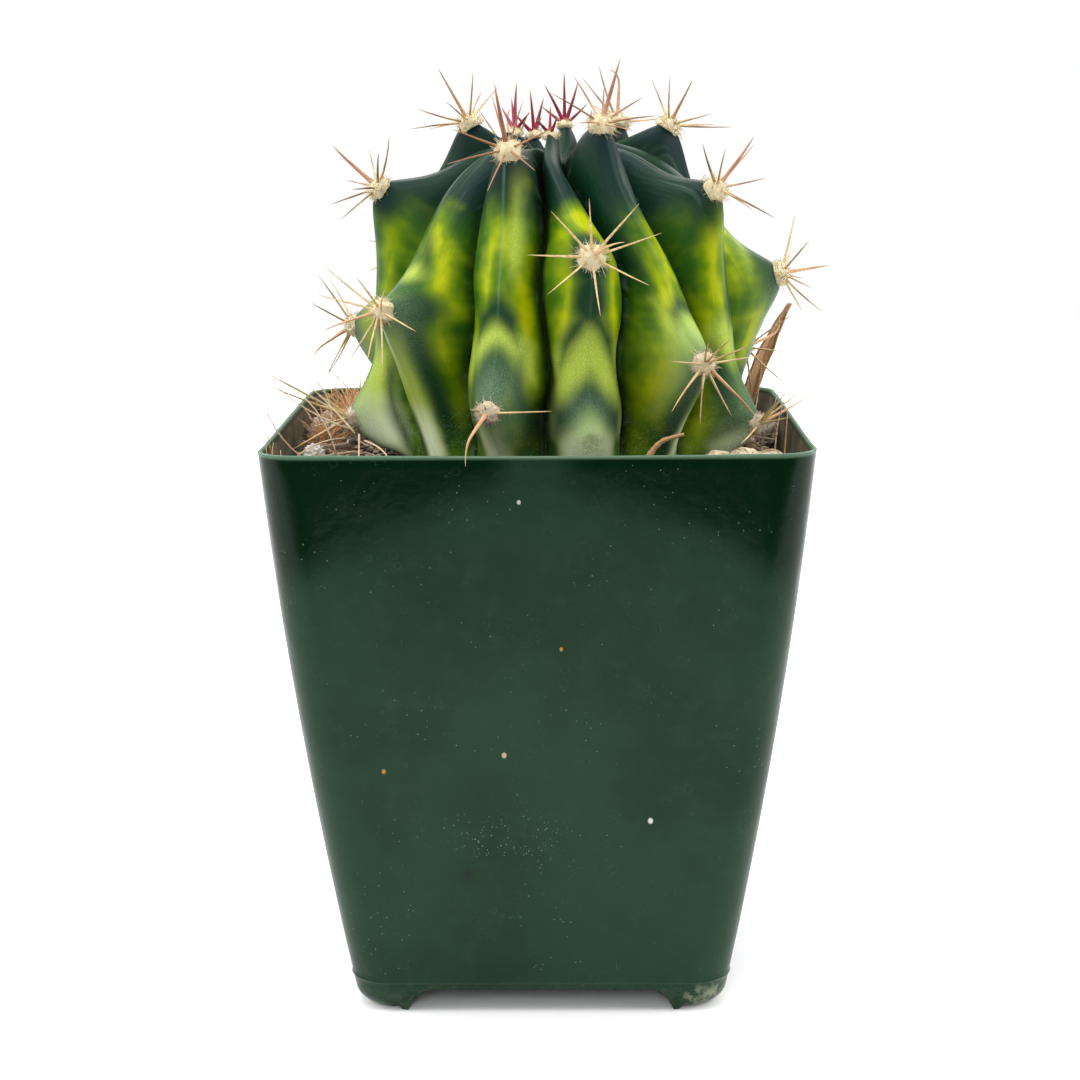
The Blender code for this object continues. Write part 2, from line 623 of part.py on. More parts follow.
def make_cluster(rib, tier, angle, chance):
    """A wool pad with an even ring of radial spines and one stout central, which is often hooked."""
    young = angle >= YOUNG_FROM
    normal = areole_direction(rib, angle)
    size = 0.62 if young else 1.0
    seat = frame_at(nose_tip(rib, angle) - normal * (SEAT_DEPTH - GAP), normal)
    finish = material("young_spines", SPINE_CRIMSON, 0.4) if young else material("spines", SPINE_TAN, 0.4)
    pad = make_pad("areole_%s_%02d" % (tier, rib), seat, size, finish)
    root = seat @ Matrix.Translation((0, 0, 0.5 * MM * size))
    radials = RADIALS.get((rib, tier)) or even_radials(angle, chance)
    spines = []
    for length, tilt, clock in radials:
        curl = chance.uniform(-16, 12)
        tilt = raised(root, tilt, clock, length * MM, curl, 0)
        if clear_of_pot(root, tilt, clock, length * MM, curl, 0):
            radius = SPINE_ROOT_RADIUS * size
            spines.append(make_spine("spine", length * MM, radius, tilt, clock, curl, 0, root))
    if not young:
        length, tilt, clock, hook = CENTRALS.get((rib, tier), PLAIN_CENTRAL)
        tilt = raised(root, tilt, clock, length * MM, CENTRAL_CURL, hook)
        central = make_spine("central", length * MM, CENTRAL_RADIUS, tilt, clock, CENTRAL_CURL, hook, root)
        spines.append(central)
    combine(pad, spines, "UNION")


def even_radials(angle, chance):
    """A ring of radials a little out of true: length in millimetres, tilt and clock of each."""
    start = chance.uniform(-8, 8)
    listed = []
    for turn in range(RADIAL_COUNT):
        clock = start + 360 / RADIAL_COUNT * turn + chance.uniform(-7, 7)
        tilt = RADIAL_TILT + chance.uniform(-9, 7) - (14 if angle > 50 else 0)
        listed.append((RADIAL_LENGTH * chance.uniform(0.86, 1.04), tilt, clock))
    return listed


def make_clusters():
    chance = random.Random(SEED)
    for rib in range(RIBS):
        make_cluster(rib, "lower", LOWER_TUBERCLES[rib][1], chance)
        make_cluster(rib, "upper", UPPER_TUBERCLES[rib][1], chance)


# Soil

def spots():
    """The level places under the loose pieces, each with its radius."""
    found = [(x * MM, y * MM, max(length, width) / 2 * MM) for _, x, y, length, width, _ in STONES]
    found += [(x * MM, y * MM, length / 2 * MM) for _, x, y, length, _, _, _ in BARK_CHIPS]
    found += [(x * MM, y * MM, core * MM) for _, x, y, core, _, _ in TUFTS]
    return found


def soil_height(x, y):
    """Low waves with a shallow dip round the stem, level under each loose piece."""
    waves = math.sin(x * 310) * math.cos(y * 270) + 0.6 * math.sin(x * 700 + y * 520)
    from_stem = math.hypot(x - STEM_X, y - STEM_Y)
    dip = math.exp(-((from_stem - MOAT_RADIUS) / MOAT_WIDTH) ** 2)
    for spot_x, spot_y, radius in spots():
        away = math.hypot(x - spot_x, y - spot_y)
        cover = 1 - smooth(radius + SPOT_MARGIN, radius + 2 * SPOT_MARGIN, away)
        waves *= 1 - cover
        dip *= 1 - cover
    return SOIL_TOP + SOIL_RELIEF * waves * (1 - dip) * 0.5 - MOAT_DEPTH * dip


def make_soil():
    low = FLOOR_TOP + GAP
    heights = [low] + spread(SEAM_HEIGHT, POT_HEIGHT, WALL_LEVELS)[1:-1] + [POT_HEIGHT + 5 * MM]
    bm = tapered_block(heights, WALL + GAP)
    soil = add_object("soil_mix", mesh_from("soil_mix", bm), PARTS, material("soil", SOIL_BROWN, 0.9))
    ground = bmesh.new()
    bmesh.ops.create_grid(ground, x_segments=SOIL_CELLS, y_segments=SOIL_CELLS, size=RIM_WIDTH / 2 + 2 * MM)
    for vert in ground.verts:
        vert.co.z = soil_height(vert.co.x, vert.co.y)
    raised = bmesh.ops.extrude_face_region(ground, geom=ground.faces[:])
    for item in raised["geom"]:
        if isinstance(item, bmesh.types.BMVert):
            item.co.z = POT_HEIGHT + 10 * MM
    tools = [cutter("above_soil", ground), root_hole()]
    for x, y in ((HUSK_BASE[0], HUSK_BASE[1]), (STRAW_ROUTE[0][0] * MM, STRAW_ROUTE[0][1] * MM)):
        tools.append(cylinder_cutter("stub_hole", (x, y), HOLE_RADIUS, SOIL_TOP - SET_IN_SOIL - 1 * MM,
                                     SOIL_TOP + 3 * MM, 8))
    combine(soil, tools, "DIFFERENCE")


def root_hole():
    """The plain hole that the stem stands in: its own profile, a gap wider all round."""
    rim = meridian(LOWEST_ROW)
    profile = [(0.0, POT_HEIGHT + 4 * MM), (rim[0] + 8 * MM, POT_HEIGHT + 4 * MM)]
    profile.append((rim[0] + GAP * 2, rim[1] + GAP))
    profile += [(radius + GAP * 2, height) for radius, height in ROOT_PROFILE]
    profile.append((0.0, ROOT_PROFILE[-1][1] - 3 * MM))
    mesh = bpy.data.meshes.new("root_hole_profile")
    points = [(radius, 0.0, height) for radius, height in profile]
    mesh.from_pydata(points, [(step, step + 1) for step in range(len(points) - 1)], [])
    drawn = add_object("root_hole_profile", mesh, CUTTERS)
    screw = drawn.modifiers.new("turn", "SCREW")
    screw.steps = RIBS * 3
    screw.render_steps = screw.steps
    screw.use_merge_vertices = True
    screw.merge_threshold = 0.00005
    drawn.location = (STEM_X, STEM_Y, 0)
    bpy.context.view_layer.update()
    turned = evaluated_copy(drawn)
    bpy.data.objects.remove(drawn)
    bm = bmesh.new()
    bm.from_mesh(turned)
    bpy.data.meshes.remove(turned)
    return cutter("root_hole", bm)


# What lies or stands on the soil

def rest_on_soil(bm, x, y, turn):
    """Turn a shape built on the plane z = 0 and set it down a gap above the level soil."""
    place = Matrix.Translation((x, y, SOIL_TOP + GAP)) @ Matrix.Rotation(turn, 4, "Z")
    bmesh.ops.transform(bm, matrix=place, verts=bm.verts)


def make_stone(name, x, y, length, width, height, chance):
    """A ball pushed in and out at random, with a flat base."""
    bm = bmesh.new()
    bmesh.ops.create_icosphere(bm, subdivisions=2, radius=0.5)
    for vert in bm.verts:
        vert.co *= 1 + chance.uniform(-STONE_ROUGHNESS, STONE_ROUGHNESS)
        low = max(vert.co.z, -0.32) + 0.32
        vert.co = Vector((vert.co.x * length * MM, vert.co.y * width * MM, low * height * 1.22 * MM))
    bmesh.ops.dissolve_limit(bm, angle_limit=math.radians(0.5), verts=bm.verts, edges=bm.edges)
    rest_on_soil(bm, x * MM, y * MM, chance.uniform(-0.5, 0.5))
    if name.startswith("perlite"):
        finish = material("perlite", PERLITE_WHITE, 0.9)
    elif name in ("stone_pumice", "stone_pale", "stone_back"):
        finish = material("pumice", STONE_TAN, 0.9)
    else:
        finish = material("gravel", STONE_GREY, 0.85)
    stone = add_object(name, mesh_from(name, bm), PARTS, finish)
    stone.data.shade_smooth()
    stone.data.set_sharp_from_angle(angle=math.radians(40))


def make_bark(name, x, y, length, width, height, turn, chance):
    """A split chip: a block whose corners are pulled about, tapering at both ends."""
    bm = bmesh.new()
    bmesh.ops.create_cube(bm, size=1.0)
    whole = bm.verts[:] + bm.edges[:] + bm.faces[:]
    bmesh.ops.bisect_plane(bm, geom=whole, dist=1e-7, plane_co=(0.1, 0, 0), plane_no=(1, 0, 0))
    for vert in bm.verts:
        narrow = 0.55 if abs(vert.co.x) > 0.4 else 1.0
        vert.co.x *= length * MM * chance.uniform(0.9, 1.1)
        vert.co.y *= width * MM * narrow * chance.uniform(0.85, 1.15)
        top = vert.co.z > 0
        vert.co.z = height * MM * chance.uniform(0.6, 1.0) * narrow if top else 0.0
    rest_on_soil(bm, x * MM, y * MM, math.radians(turn))
    add_object(name, mesh_from(name, bm), PARTS, material("bark", BARK_BROWN, 0.85))


def make_tuft(name, x, y, core, reach, count, chance):
    """A small wad of fibre with loose ends that lean out of it."""
    bm = bmesh.new()
    bmesh.ops.create_icosphere(bm, subdivisions=2, radius=1.0)
    for vert in bm.verts:
        vert.co *= 1 + chance.uniform(-0.15, 0.15)
        above = max(vert.co.z, -0.3) + 0.3
        vert.co = Vector((vert.co.x, vert.co.y * 0.8, above * 0.85)) * core * MM
    bmesh.ops.dissolve_limit(bm, angle_limit=math.radians(0.5), verts=bm.verts, edges=bm.edges)
    rest_on_soil(bm, x * MM, y * MM, 0.0)
    tuft = add_object(name, mesh_from(name, bm), PARTS, material("coir", COIR_ORANGE, 0.8))
    fibres = []
    for turn in range(count):
        root = Matrix.Translation((x * MM, y * MM, SOIL_TOP + GAP + core * 0.35 * MM))
        tilt = chance.uniform(25, 66)
        clock = 360 / count * turn + chance.uniform(-10, 10)
        length = reach * MM * chance.uniform(0.75, 1.1)
        curl = chance.uniform(-25, 20)
        fibres.append(make_spine("fibre", length, TUFT_FIBRE_RADIUS, tilt, clock, curl, 0, root))
    combine(tuft, fibres, "UNION")


def make_husk():
    """A dry papery blade, a curved strip with thickness, standing with its narrow foot in the soil."""
    bm = bmesh.new()
    bmesh.ops.create_grid(bm, x_segments=2, y_segments=HUSK_SEGMENTS, size=0.5)
    low = SOIL_TOP - SET_IN_SOIL
    for vert in bm.verts:
        across, share = vert.co.x * 2, vert.co.y + 0.5
        above = max(0.0, share - 0.2) / 0.8
        half = 0.5 * MM + (HUSK_HALF_WIDTH - 0.5 * MM) * math.sin(math.pi * min(above * 1.06, 1.0)) ** 0.8
        curl = (across * across - 0.5) * half * 0.5
        vert.co = Vector((HUSK_BASE[0] + HUSK_LEAN[0] * above ** 1.6 + across * half * 0.75,
                          HUSK_BASE[1] + HUSK_LEAN[1] * above + across * half * 0.5 - curl,
                          low + (HUSK_HEIGHT + SET_IN_SOIL) * share))
    husk = add_object("husk", mesh_from("husk", bm), PARTS, material("husk", STRAW_TAN, 0.7))
    thicken = husk.modifiers.new("thickness", "SOLIDIFY")
    thicken.thickness = HUSK_THICKNESS
    thicken.offset = 0.0
    bpy.context.view_layer.update()


def make_straw():
    """A bent straw, one thin tube, standing with its end in the soil."""
    curve = bpy.data.curves.new("straw", "CURVE")
    curve.dimensions = "3D"
    curve.bevel_depth = STRAW_RADIUS
    curve.bevel_resolution = 1
    curve.use_fill_caps = True
    spline = curve.splines.new("POLY")
    spline.points.add(len(STRAW_ROUTE) - 1)
    for point, (x, y, z) in zip(spline.points, STRAW_ROUTE):
        point.co = (x * MM, y * MM, z * MM, 1)
    curve.materials.append(material("husk", STRAW_TAN, 0.7))
    PARTS.objects.link(bpy.data.objects.new("straw", curve))


def make_loose_pieces():
    chance = random.Random(SEED + 1)
    for stone in STONES:
        make_stone(*stone, chance)
    for chip in BARK_CHIPS:
        make_bark(*chip, chance)
    for tuft in TUFTS:
        make_tuft(*tuft, chance)
    make_husk()
    make_straw()


for leftover in list(bpy.data.objects):
    bpy.data.objects.remove(leftover)
PARTS = new_collection("potted_barrel_cactus")
CUTTERS = new_collection("cutters")
make_pot()
make_stem()
make_clusters()
make_soil()
make_loose_pieces()
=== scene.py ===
"""The looks of a potted barrel cactus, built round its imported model.

Metres, +Z up. The origin is on the ground under the pot's centre and the front faces -Y.
Sizes are written in millimetres times MM, azimuths and tilts in degrees.
An azimuth is 0 towards the front and grows to the right.
"""

import math
import random

import bmesh
import bpy
import numpy as np
from mathutils import Matrix


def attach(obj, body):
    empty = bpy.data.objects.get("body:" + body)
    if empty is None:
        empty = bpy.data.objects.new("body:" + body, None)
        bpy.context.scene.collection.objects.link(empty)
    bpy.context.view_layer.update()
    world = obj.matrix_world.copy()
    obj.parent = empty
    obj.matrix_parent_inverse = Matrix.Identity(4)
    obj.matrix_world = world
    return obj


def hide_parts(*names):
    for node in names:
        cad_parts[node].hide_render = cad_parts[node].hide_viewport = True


MM = 0.001
SEED = 13
MERGE_DISTANCE = 0.0001 * MM

# Pot, as in the model
RIM_WIDTH = 95.0 * MM
POT_HEIGHT = 104.0 * MM
BASE_WIDTH = 68.9 * MM
SEAM_HEIGHT = 5.9 * MM
WALL_BOW = 4.3 * MM
WALL = 0.8 * MM
CORNER_RADIUS = 7.5 * MM
FLOOR_BOTTOM = 4.6 * MM
FLOOR_TOP = 5.5 * MM
FOOT_ROUND = 3.0 * MM
ARCH_HALF_TOP = 16.3 * MM
ARCH_RUN = 7.6 * MM
DRAIN_RADIUS = 2.6 * MM
DRAIN_RING = 11.0 * MM
RIM_ROUND = 0.3 * MM
SEAM_RIDGE = 0.22 * MM

# Stem, as in the model: each rib's tubercles as azimuth and angle up the barrel
STEM_X = 4.0 * MM
WAIST_HEIGHT = 122.0 * MM
CREST_RADIUS = 34.0 * MM
CREST_RISE = 35.0 * MM
CREST_FALL = 45.0 * MM
GROOVE_DEPTH = 6.5 * MM
GROOVE_SHARPNESS = 2.6
GROOVE_SWAY = 2.4
SWAY_ENDS = (80, 60)
EDGE_SHARE = 0.22
EDGE_SHARPNESS = 10
CROWN_HOLLOW = 6.0 * MM
CROWN_HOLLOW_RADIUS = 9.5 * MM
LOWEST_ROW = -36
HIGHEST_ROW = 88
RIBS_FADE_FROM = -24
CROWN_FADES_FROM = 70
ROOT_PROFILE = ((26.0, 91.0), (15.0, 82.0), (6.0, 72.0), (3.0, 58.0))
LOWER_TUBERCLES = ((8, 20), (37, -5), (65, -19.5), (88, 12), (119, -8), (145, 24), (171, 4),
                   (198, -16), (226, 16), (253, -2), (272, -20), (311, 6), (342, -13.5))
UPPER_TUBERCLES = ((-12, 78), (22, 62), (55, 36.5), (92, 82), (111, 59), (140, 66), (176, 71),
                   (198, 44), (218, 79), (262, 66), (283, 36.5), (304, 76), (341, 49.5))
BURIED_TUBERCLES = {0: -20, 5: -24}
RIBS = len(LOWER_TUBERCLES)
NOSE_LENGTH = 7.6 * MM
NOSE_ABOVE = 5.6 * MM
NOSE_BELOW = 9.0 * MM
NOSE_ACROSS = 5.2 * MM
NOSE_POWER = 1.75
NOSE_LEAN = 0.9
NOSES_SHRINK = (54, 80)
YOUNG_NOSE_LOSS = 0.5
YOUNG_FROM = 70
SEAT_DEPTH = 0.9 * MM
GAP = 0.3 * MM

# Clusters, as in the model: length in millimetres, tilt, clock and, on a central, hook
RADIAL_COUNT = 8
RADIAL_LENGTH = 11.5
RADIAL_TILT = 66
LEAST_TILT = 20
TILT_STEP = 8
HIGH_FROM = 50
HIGH_TILT_LOSS = 14
CENTRAL_CURL = 5
HOOK_FROM = 0.6
LITTER_HEIGHT = 5.5 * MM
RIM_CLEARANCE = 2.5 * MM
WALL_MARGIN = 3.0 * MM
PLAIN_CENTRAL = (11.0, 24, 0, 95)
CENTRALS = {
    (0, "lower"): (9.0, 16, 80, 95),
    (1, "lower"): (13.0, 57, 141, 10),
    (2, "lower"): (12.0, 58, 45, 0),
    (3, "lower"): (9.6, 14, 100, 0),
    (6, "lower"): (10.0, 8, 0, 10),
    (9, "lower"): (12.0, 50, 126, 60),
    (10, "lower"): (13.0, 28, 110, 0),
    (11, "lower"): (10.5, 26, 225, 15),
    (12, "lower"): (14.5, 6, 178, 70),
    (1, "upper"): (12.5, 46, 29, 8),
    (2, "upper"): (11.0, 30, 40, 10),
    (4, "upper"): (12.0, 50, 296, 10),
    (9, "upper"): (12.5, 28, 80, 10),
    (10, "upper"): (11.3, 18, 300, 10),
    (12, "upper"): (11.5, 38, 345, 10),
}
RADIALS = {
    (0, "lower"): ((12.0, 77, 268), (11.5, 56, 310), (11.5, 41, 350), (12.0, 56, 45), (12.5, 70, 77),
                   (12.0, 67, 127), (12.0, 74, 179), (12.0, 73, 229)),
    (1, "lower"): ((11.5, 52, 311), (11.5, 39, 333), (11.5, 27, 7), (11.5, 80, 85), (12.0, 71, 280),
                   (12.5, 82, 235), (12.0, 65, 211), (10.0, 65, 165)),
    (2, "lower"): ((11.5, 71, 315), (11.5, 62, 335), (11.5, 52, 305), (12.0, 80, 263), (11.5, 78, 245),
                   (10.5, 62, 20)),
    (3, "lower"): ((11.5, 67, 67), (12.0, 61, 301), (11.5, 75, 139), (11.5, 64, 20), (11.5, 66, 220),
                   (11.5, 66, 255), (11.5, 70, 104)),
    (9, "lower"): ((12.0, 64, 190), (11.5, 66, 20), (11.5, 66, 62), (11.5, 64, 240), (11.5, 66, 285),
                   (11.5, 64, 330), (11.5, 66, 155)),
    (10, "lower"): ((22.0, 49, 24), (20.5, 47, 33), (12.5, 55, 12), (11.5, 72, 217), (11.5, 66, 150),
                    (11.5, 60, 80), (11.5, 64, 290)),
    (11, "lower"): ((13.0, 58, 308), (11.5, 42, 40), (11.5, 55, 66), (12.0, 60, 281), (14.0, 80, 101),
                    (12.0, 72, 142), (11.5, 59, 160), (11.5, 66, 195)),
    (12, "lower"): ((12.5, 80, 83), (12.0, 61, 122), (3.0, 60, 300), (3.0, 50, 10)),
    (0, "upper"): ((5.0, 25, 0), (4.5, 35, 120), (4.5, 35, 240)),
    (1, "upper"): ((11.5, 73, 349), (11.0, 78, 20), (11.5, 79, 59), (11.5, 52, 139), (11.5, 59, 176),
                   (11.0, 60, 230), (11.0, 62, 285)),
    (2, "upper"): ((11.5, 62, 304), (11.5, 43, 290), (11.5, 61, 60), (11.5, 76, 94), (11.5, 52, 210),
                   (11.5, 64, 150)),
    (3, "upper"): ((5.0, 20, 0), (4.0, 40, 120), (4.0, 40, 240)),
    (4, "upper"): ((11.5, 53, 57), (11.5, 67, 318), (11.5, 71, 262), (11.5, 55, 158), (11.5, 64, 110),
                   (11.5, 62, 210)),
    (5, "upper"): ((11.0, 58, 10), (11.0, 56, 55), (10.5, 60, 100), (11.0, 60, 145), (11.0, 62, 190)),
    (6, "upper"): ((9.7, 26, 0), (8.5, 42, 35), (8.5, 40, 325), (6.0, 50, 90), (6.0, 50, 270)),
    (8, "upper"): ((8.2, 22, 20), (7.0, 28, 330), (5.5, 45, 90), (5.5, 45, 250)),
    (9, "upper"): ((12.0, 59, 50), (11.5, 62, 290), (11.5, 70, 310), (11.5, 64, 125), (11.5, 68, 221),
                   (11.5, 63, 90), (11.0, 62, 180)),
    (10, "upper"): ((11.5, 65, 64), (11.5, 71, 300), (11.5, 77, 40), (11.5, 63, 108), (11.5, 71, 142),
                    (11.5, 66, 228), (11.5, 66, 262)),
    (11, "upper"): ((8.8, 22, 350), (6.5, 55, 290), (6.5, 35, 320), (5.0, 50, 60)),
    (12, "upper"): ((10.0, 63, 271), (12.0, 63, 224), (12.0, 76, 180), (11.5, 68, 135), (11.5, 62, 92),
                    (11.5, 79, 335), (10.0, 80, 5)),
}

# Soil and what lies on it, as in the model, in millimetres
SOIL_TOP = 96.2 * MM
SOIL_RELIEF = 0.9 * MM
SPOT_MARGIN = 4.5
MOAT_RADIUS = 33.0 * MM
MOAT_WIDTH = 9.0 * MM
MOAT_DEPTH = 1.2 * MM
SET_IN_SOIL = 4.0 * MM
STONES = (
    ("stone_pumice", 36.0, -29.5, 12.0, 9.5, 4.6),
    ("stone_pale", 26.5, -41.0, 5.0, 4.5, 4.0),
    ("stone_red", 42.5, 17.0, 5.5, 5.0, 4.5),
    ("stone_gravel", -35.0, 13.0, 8.0, 6.5, 6.0),
    ("stone_small", -42.0, 34.0, 4.5, 4.0, 4.0),
    ("stone_mauve", -42.8, 20.0, 4.0, 4.5, 4.0),
    ("stone_back", 24.0, 40.5, 8.0, 6.5, 5.0),
    ("stone_side", -12.0, 41.5, 6.0, 5.5, 4.0),
    ("perlite_left", -42.0, -4.0, 3.2, 2.8, 2.6),
    ("perlite_front", 1.5, -43.0, 2.6, 2.6, 2.6),
    ("perlite_back", 8.0, 43.0, 3.4, 3.0, 2.6),
)
BARK_CHIPS = (
    ("bark_left", -38.5, 2.0, 7.0, 3.6, 2.2, 35),
    ("bark_front", -26.5, -35.5, 8.0, 3.8, 2.4, -25),
    ("bark_back", 38.0, 36.0, 9.0, 4.0, 2.4, 60),
)
TUFTS = (
    ("coir_back", -36.5, 38.0, 5.0, 8.5),
    ("coir_left", -39.0, 27.0, 3.0, 6.0),
    ("moss_left", -40.5, 8.5, 2.2, 5.5),
)
HUSK_BASE = (40.5 * MM, 27.0 * MM)
HUSK_LEAN = (8.5 * MM, -1.0 * MM)
HUSK_HEIGHT = 26.5 * MM
HUSK_HALF_WIDTH = 2.2 * MM
STRAW_ROUTE = ((17.0, -38.0, 92.5), (17.4, -38.0, 99.5), (19.8, -38.2, 103.6), (21.4, -38.4, 105.2),
               (25.0, -38.6, 106.2))

# Floor and light
# The sky's stops run from below, 0, to overhead, 1, each with the colour of its light
# A lamp is its name, its place, its turns in degrees, its sides and its watts
SHEET_HALF = 1.2
SHEET_FRONT = 0.31
SHEET_FALL = 18.0
SHEET_SIDES = 0.195
BEHIND_CAMERA_DIMMING = 0.35
SKY = ((0.49, (0.01, 0.01, 0.01)), (0.56, (0.26, 0.26, 0.27)), (1.0, (0.70, 0.70, 0.70)))
LAMPS = (
    ("overhead", (-0.05, -0.10, 0.75), (-8, -4, 0), (0.55, 0.45), 3.6),
    ("left", (-0.62, -0.28, 0.42), (62, 0, -66), (0.35, 0.55), 2.2),
    ("right", (0.62, -0.22, 0.36), (66, 0, 70), (0.30, 0.50), 2.0),
    ("front", (-0.10, -1.00, 0.50), (68, 0, -6), (0.50, 0.35), 4.5),
    ("wash_back", (0.0, 0.95, 0.60), (0, 0, 0), (1.8, 1.0), 16.0),
    ("wash_left", (-0.95, 0.25, 0.60), (0, 0, 0), (0.8, 1.2), 8.0),
    ("wash_right", (0.95, 0.25, 0.60), (0, 0, 0), (0.8, 1.2), 8.0),
)

# Camera: where it stands, its turn, its tilt down and its roll in radians
CAMERA_PLACE = (4.812 * MM, -420.75 * MM, 161.5 * MM)
CAMERA_TURN = 0.0115
CAMERA_DOWN = 0.19
CAMERA_ROLL = -0.006
CAMERA_LENS = 75.57
CAMERA_SENSOR = 36

# Stem, finer than in the model
ROWS = 150
COLUMNS_PER_RIB = 42
SLIT_DEPTH = 1.5 * MM
SLIT_WIDTH = 0.5 * MM
CREST_LINE_HEIGHT = 0.14 * MM
CREST_LINE_WIDTH = 0.3 * MM
NOSE_FADE_ROWS = 8
ROOT_TIP_DROP = 2.0
CHEVRON_ROUNDING = 1.3
BAND_TAPER = 0.35
FAR_OUTSIDE = -9.0
MEAN_RADIUS = 36
WAX_BELOW = 18
WAX_STRETCH = 0.8
WAX_HALF_WIDTH = 5.0
LINED_RIB = 12

# Clusters, finer than in the model
# A spine's redness runs from 0, straw, to 1, red-brown
YOUNG_SIZE = 0.62
CENTRAL_RADIUS = 0.35 * MM
RADIAL_RADIUS = 0.225 * MM
SPINE_TIP_RADIUS = 0.025 * MM
YOUNG_STOUTNESS = 1.7
BEND_STEPS = 40
SPINE_STEPS = 18
SPINE_SIDES = 8
SPINE_BANDS = 12
PLAIN_REDNESS = 0.42
SPINE_REDNESS = {
    (0, "lower"): 0.12, (1, "lower"): 0.45, (2, "lower"): 0.12, (3, "lower"): 0.35, (10, "lower"): 0.20,
    (11, "lower"): 0.22, (12, "lower"): 0.40, (0, "upper"): 0.75, (1, "upper"): 0.70, (2, "upper"): 0.60,
    (10, "upper"): 0.55, (11, "upper"): 0.55, (12, "upper"): 0.95,
}
PAD_SIZE = np.array((2.35, 2.209, 1.9)) * MM
PAD_ROWS = 11
PAD_COLUMNS = 28
WOOL_HAIRS = 340
WOOL_HAIR_STEPS = 4
WOOL_HAIR_SIDES = 3
WOOL_HAIR_LENGTH = (0.30 * MM, 0.80 * MM)
WOOL_HAIR_RADII = (0.05 * MM, 0.022 * MM)

# Pot, finer than in the model
# A fleck is its place across the front, its height, its radius and its tint
FOOT_ROWS = 11
WALL_ROWS = 44
SEAM_WIDTH = 0.25 * MM
RIM_WAVE = 0.12 * MM
POT_SHARP_ANGLE = 50
POT_FLECKS = ((-27.0, 47.5, 0.34, (0.40, 0.20, 0.05)), (4.0, 70.0, 0.28, (0.42, 0.22, 0.06)),
              (19.5, 38.0, 0.42, (0.60, 0.62, 0.54)), (-6.0, 50.5, 0.40, (0.42, 0.36, 0.24)),
              (-12.6, 27.7, 0.9, (0.010, 0.018, 0.012)), (-3.0, 96.0, 0.3, (0.50, 0.52, 0.46)))

# Soil and litter, finer than in the model
SOIL_ROWS = 74
CRUMB_RELIEF = 0.16 * MM
# The radius and height, in millimetres, where the soil starts to sink under the root
ROOT_SHOULDER = (27.5, 95.4)
ROOT_HOLE_RADIUS = 27.4 * MM
STONE_CUT = 0.64
FIBRE_STEPS = 7
SPOTS_TRIED = 9000
GRAIN_COUNT = 3600
GRAIN_SHARES = (0.70, 0.20, 0.10)
NEEDLE_COUNT = 420
NEEDLE_STEPS = 6
LITTER_FROM_STEM = 31.5 * MM
HUSK_WALL = 0.22 * MM
STRAW_STEPS = 24
# Each chip's place and half its length in millimetres
CHIPS = (
    (-43.0, -30, 1.3), (-41.5, -25, 1.7), (-44.0, -20, 1.2), (-39.0, -33, 1.6), (-35.5, -36, 1.9),
    (-33.0, -40, 1.5), (-29.0, -42, 1.8), (-37.0, -28, 1.4), (-43.5, -36, 1.4), (-40.0, -40, 1.9),
    (-44.5, -12, 1.5), (-25.0, -41.5, 1.4), (-20.0, -43, 1.6), (42.5, -10, 1.8), (44.0, -17, 1.4),
    (40.5, -4, 1.6), (43.5, 2, 1.8), (41.0, -20, 1.3), (44.0, -31, 1.2), (15.0, -43, 1.4),
    (8.0, -42.5, 1.1), (40.0, 10, 1.9), (-42.0, 30, 1.8), (20.0, 42, 1.7), (0.0, 42, 1.9),
    (-20.0, 43, 1.6), (42.0, 30, 1.6),
)
# Each old spine's foot and point in millimetres
DEAD_SPINES = (((-41.5, -22, 99.5), (-50.0, -21, 114.5)), ((-34.0, -15, 104.0), (-50.4, -18, 116.0)),
               ((-36.0, -11, 106.0), (-47.5, -12, 113.0)), ((-33.0, -17, 103.5), (-39.8, -14, 110.2)),
               ((-38.0, -8, 104.0), (-41.8, -8, 112.5)), ((-45.6, -37, 98.5), (-46.3, -38, 105.6)),
               ((-44.6, -38, 98.5), (-44.9, -39, 105.2)), ((-42.0, -40, 98.5), (-43.6, -40, 104.0)),
               ((-34.5, -20, 103.0), (-44.5, -30, 98.8)), ((-31.5, -25, 104.5), (-31.0, -36, 98.5)),
               ((-30.5, -26, 103.5), (-24.5, -40, 98.5)), ((-36.5, -16, 99.5), (-44.0, -9, 110.0)),
               ((40.5, -10, 99.5), (44.0, -12, 112.0)), ((38.5, -5, 99.5), (41.5, 0, 114.5)),
               ((42.5, -17, 99.0), (44.6, -18, 110.5)), ((37.0, -22, 99.5), (42.5, -30, 101.5)))
DEAD_SPINE_RADIUS = 0.17 * MM
# Each straw's name, radius, the model's piece it replaces and its route
STRAWS = (
    ("fine_straw", 0.55, ["straw"], STRAW_ROUTE),
    ("thin_straw_right", 0.16, [], ((43.4, -24, 93), (43.6, -24, 101), (44.0, -24, 108.5))),
    ("thin_straw_left", 0.14, [], ((-45.4, -33, 98), (-45.9, -35, 103), (-46.2, -36, 106.5))),
)

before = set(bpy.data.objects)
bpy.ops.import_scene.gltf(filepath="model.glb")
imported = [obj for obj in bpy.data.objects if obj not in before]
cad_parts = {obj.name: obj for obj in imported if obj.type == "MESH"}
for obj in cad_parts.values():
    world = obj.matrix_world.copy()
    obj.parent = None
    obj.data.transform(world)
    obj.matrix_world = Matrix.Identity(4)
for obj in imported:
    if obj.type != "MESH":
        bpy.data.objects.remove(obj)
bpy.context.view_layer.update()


# Meshes

def smooth(low, high, value):
    """0 below low, 1 above high, and between them share squared times (3 - 2 share)."""
    share = np.clip((np.asarray(value, float) - low) / (high - low), 0, 1)
    return share * share * (3 - 2 * share)


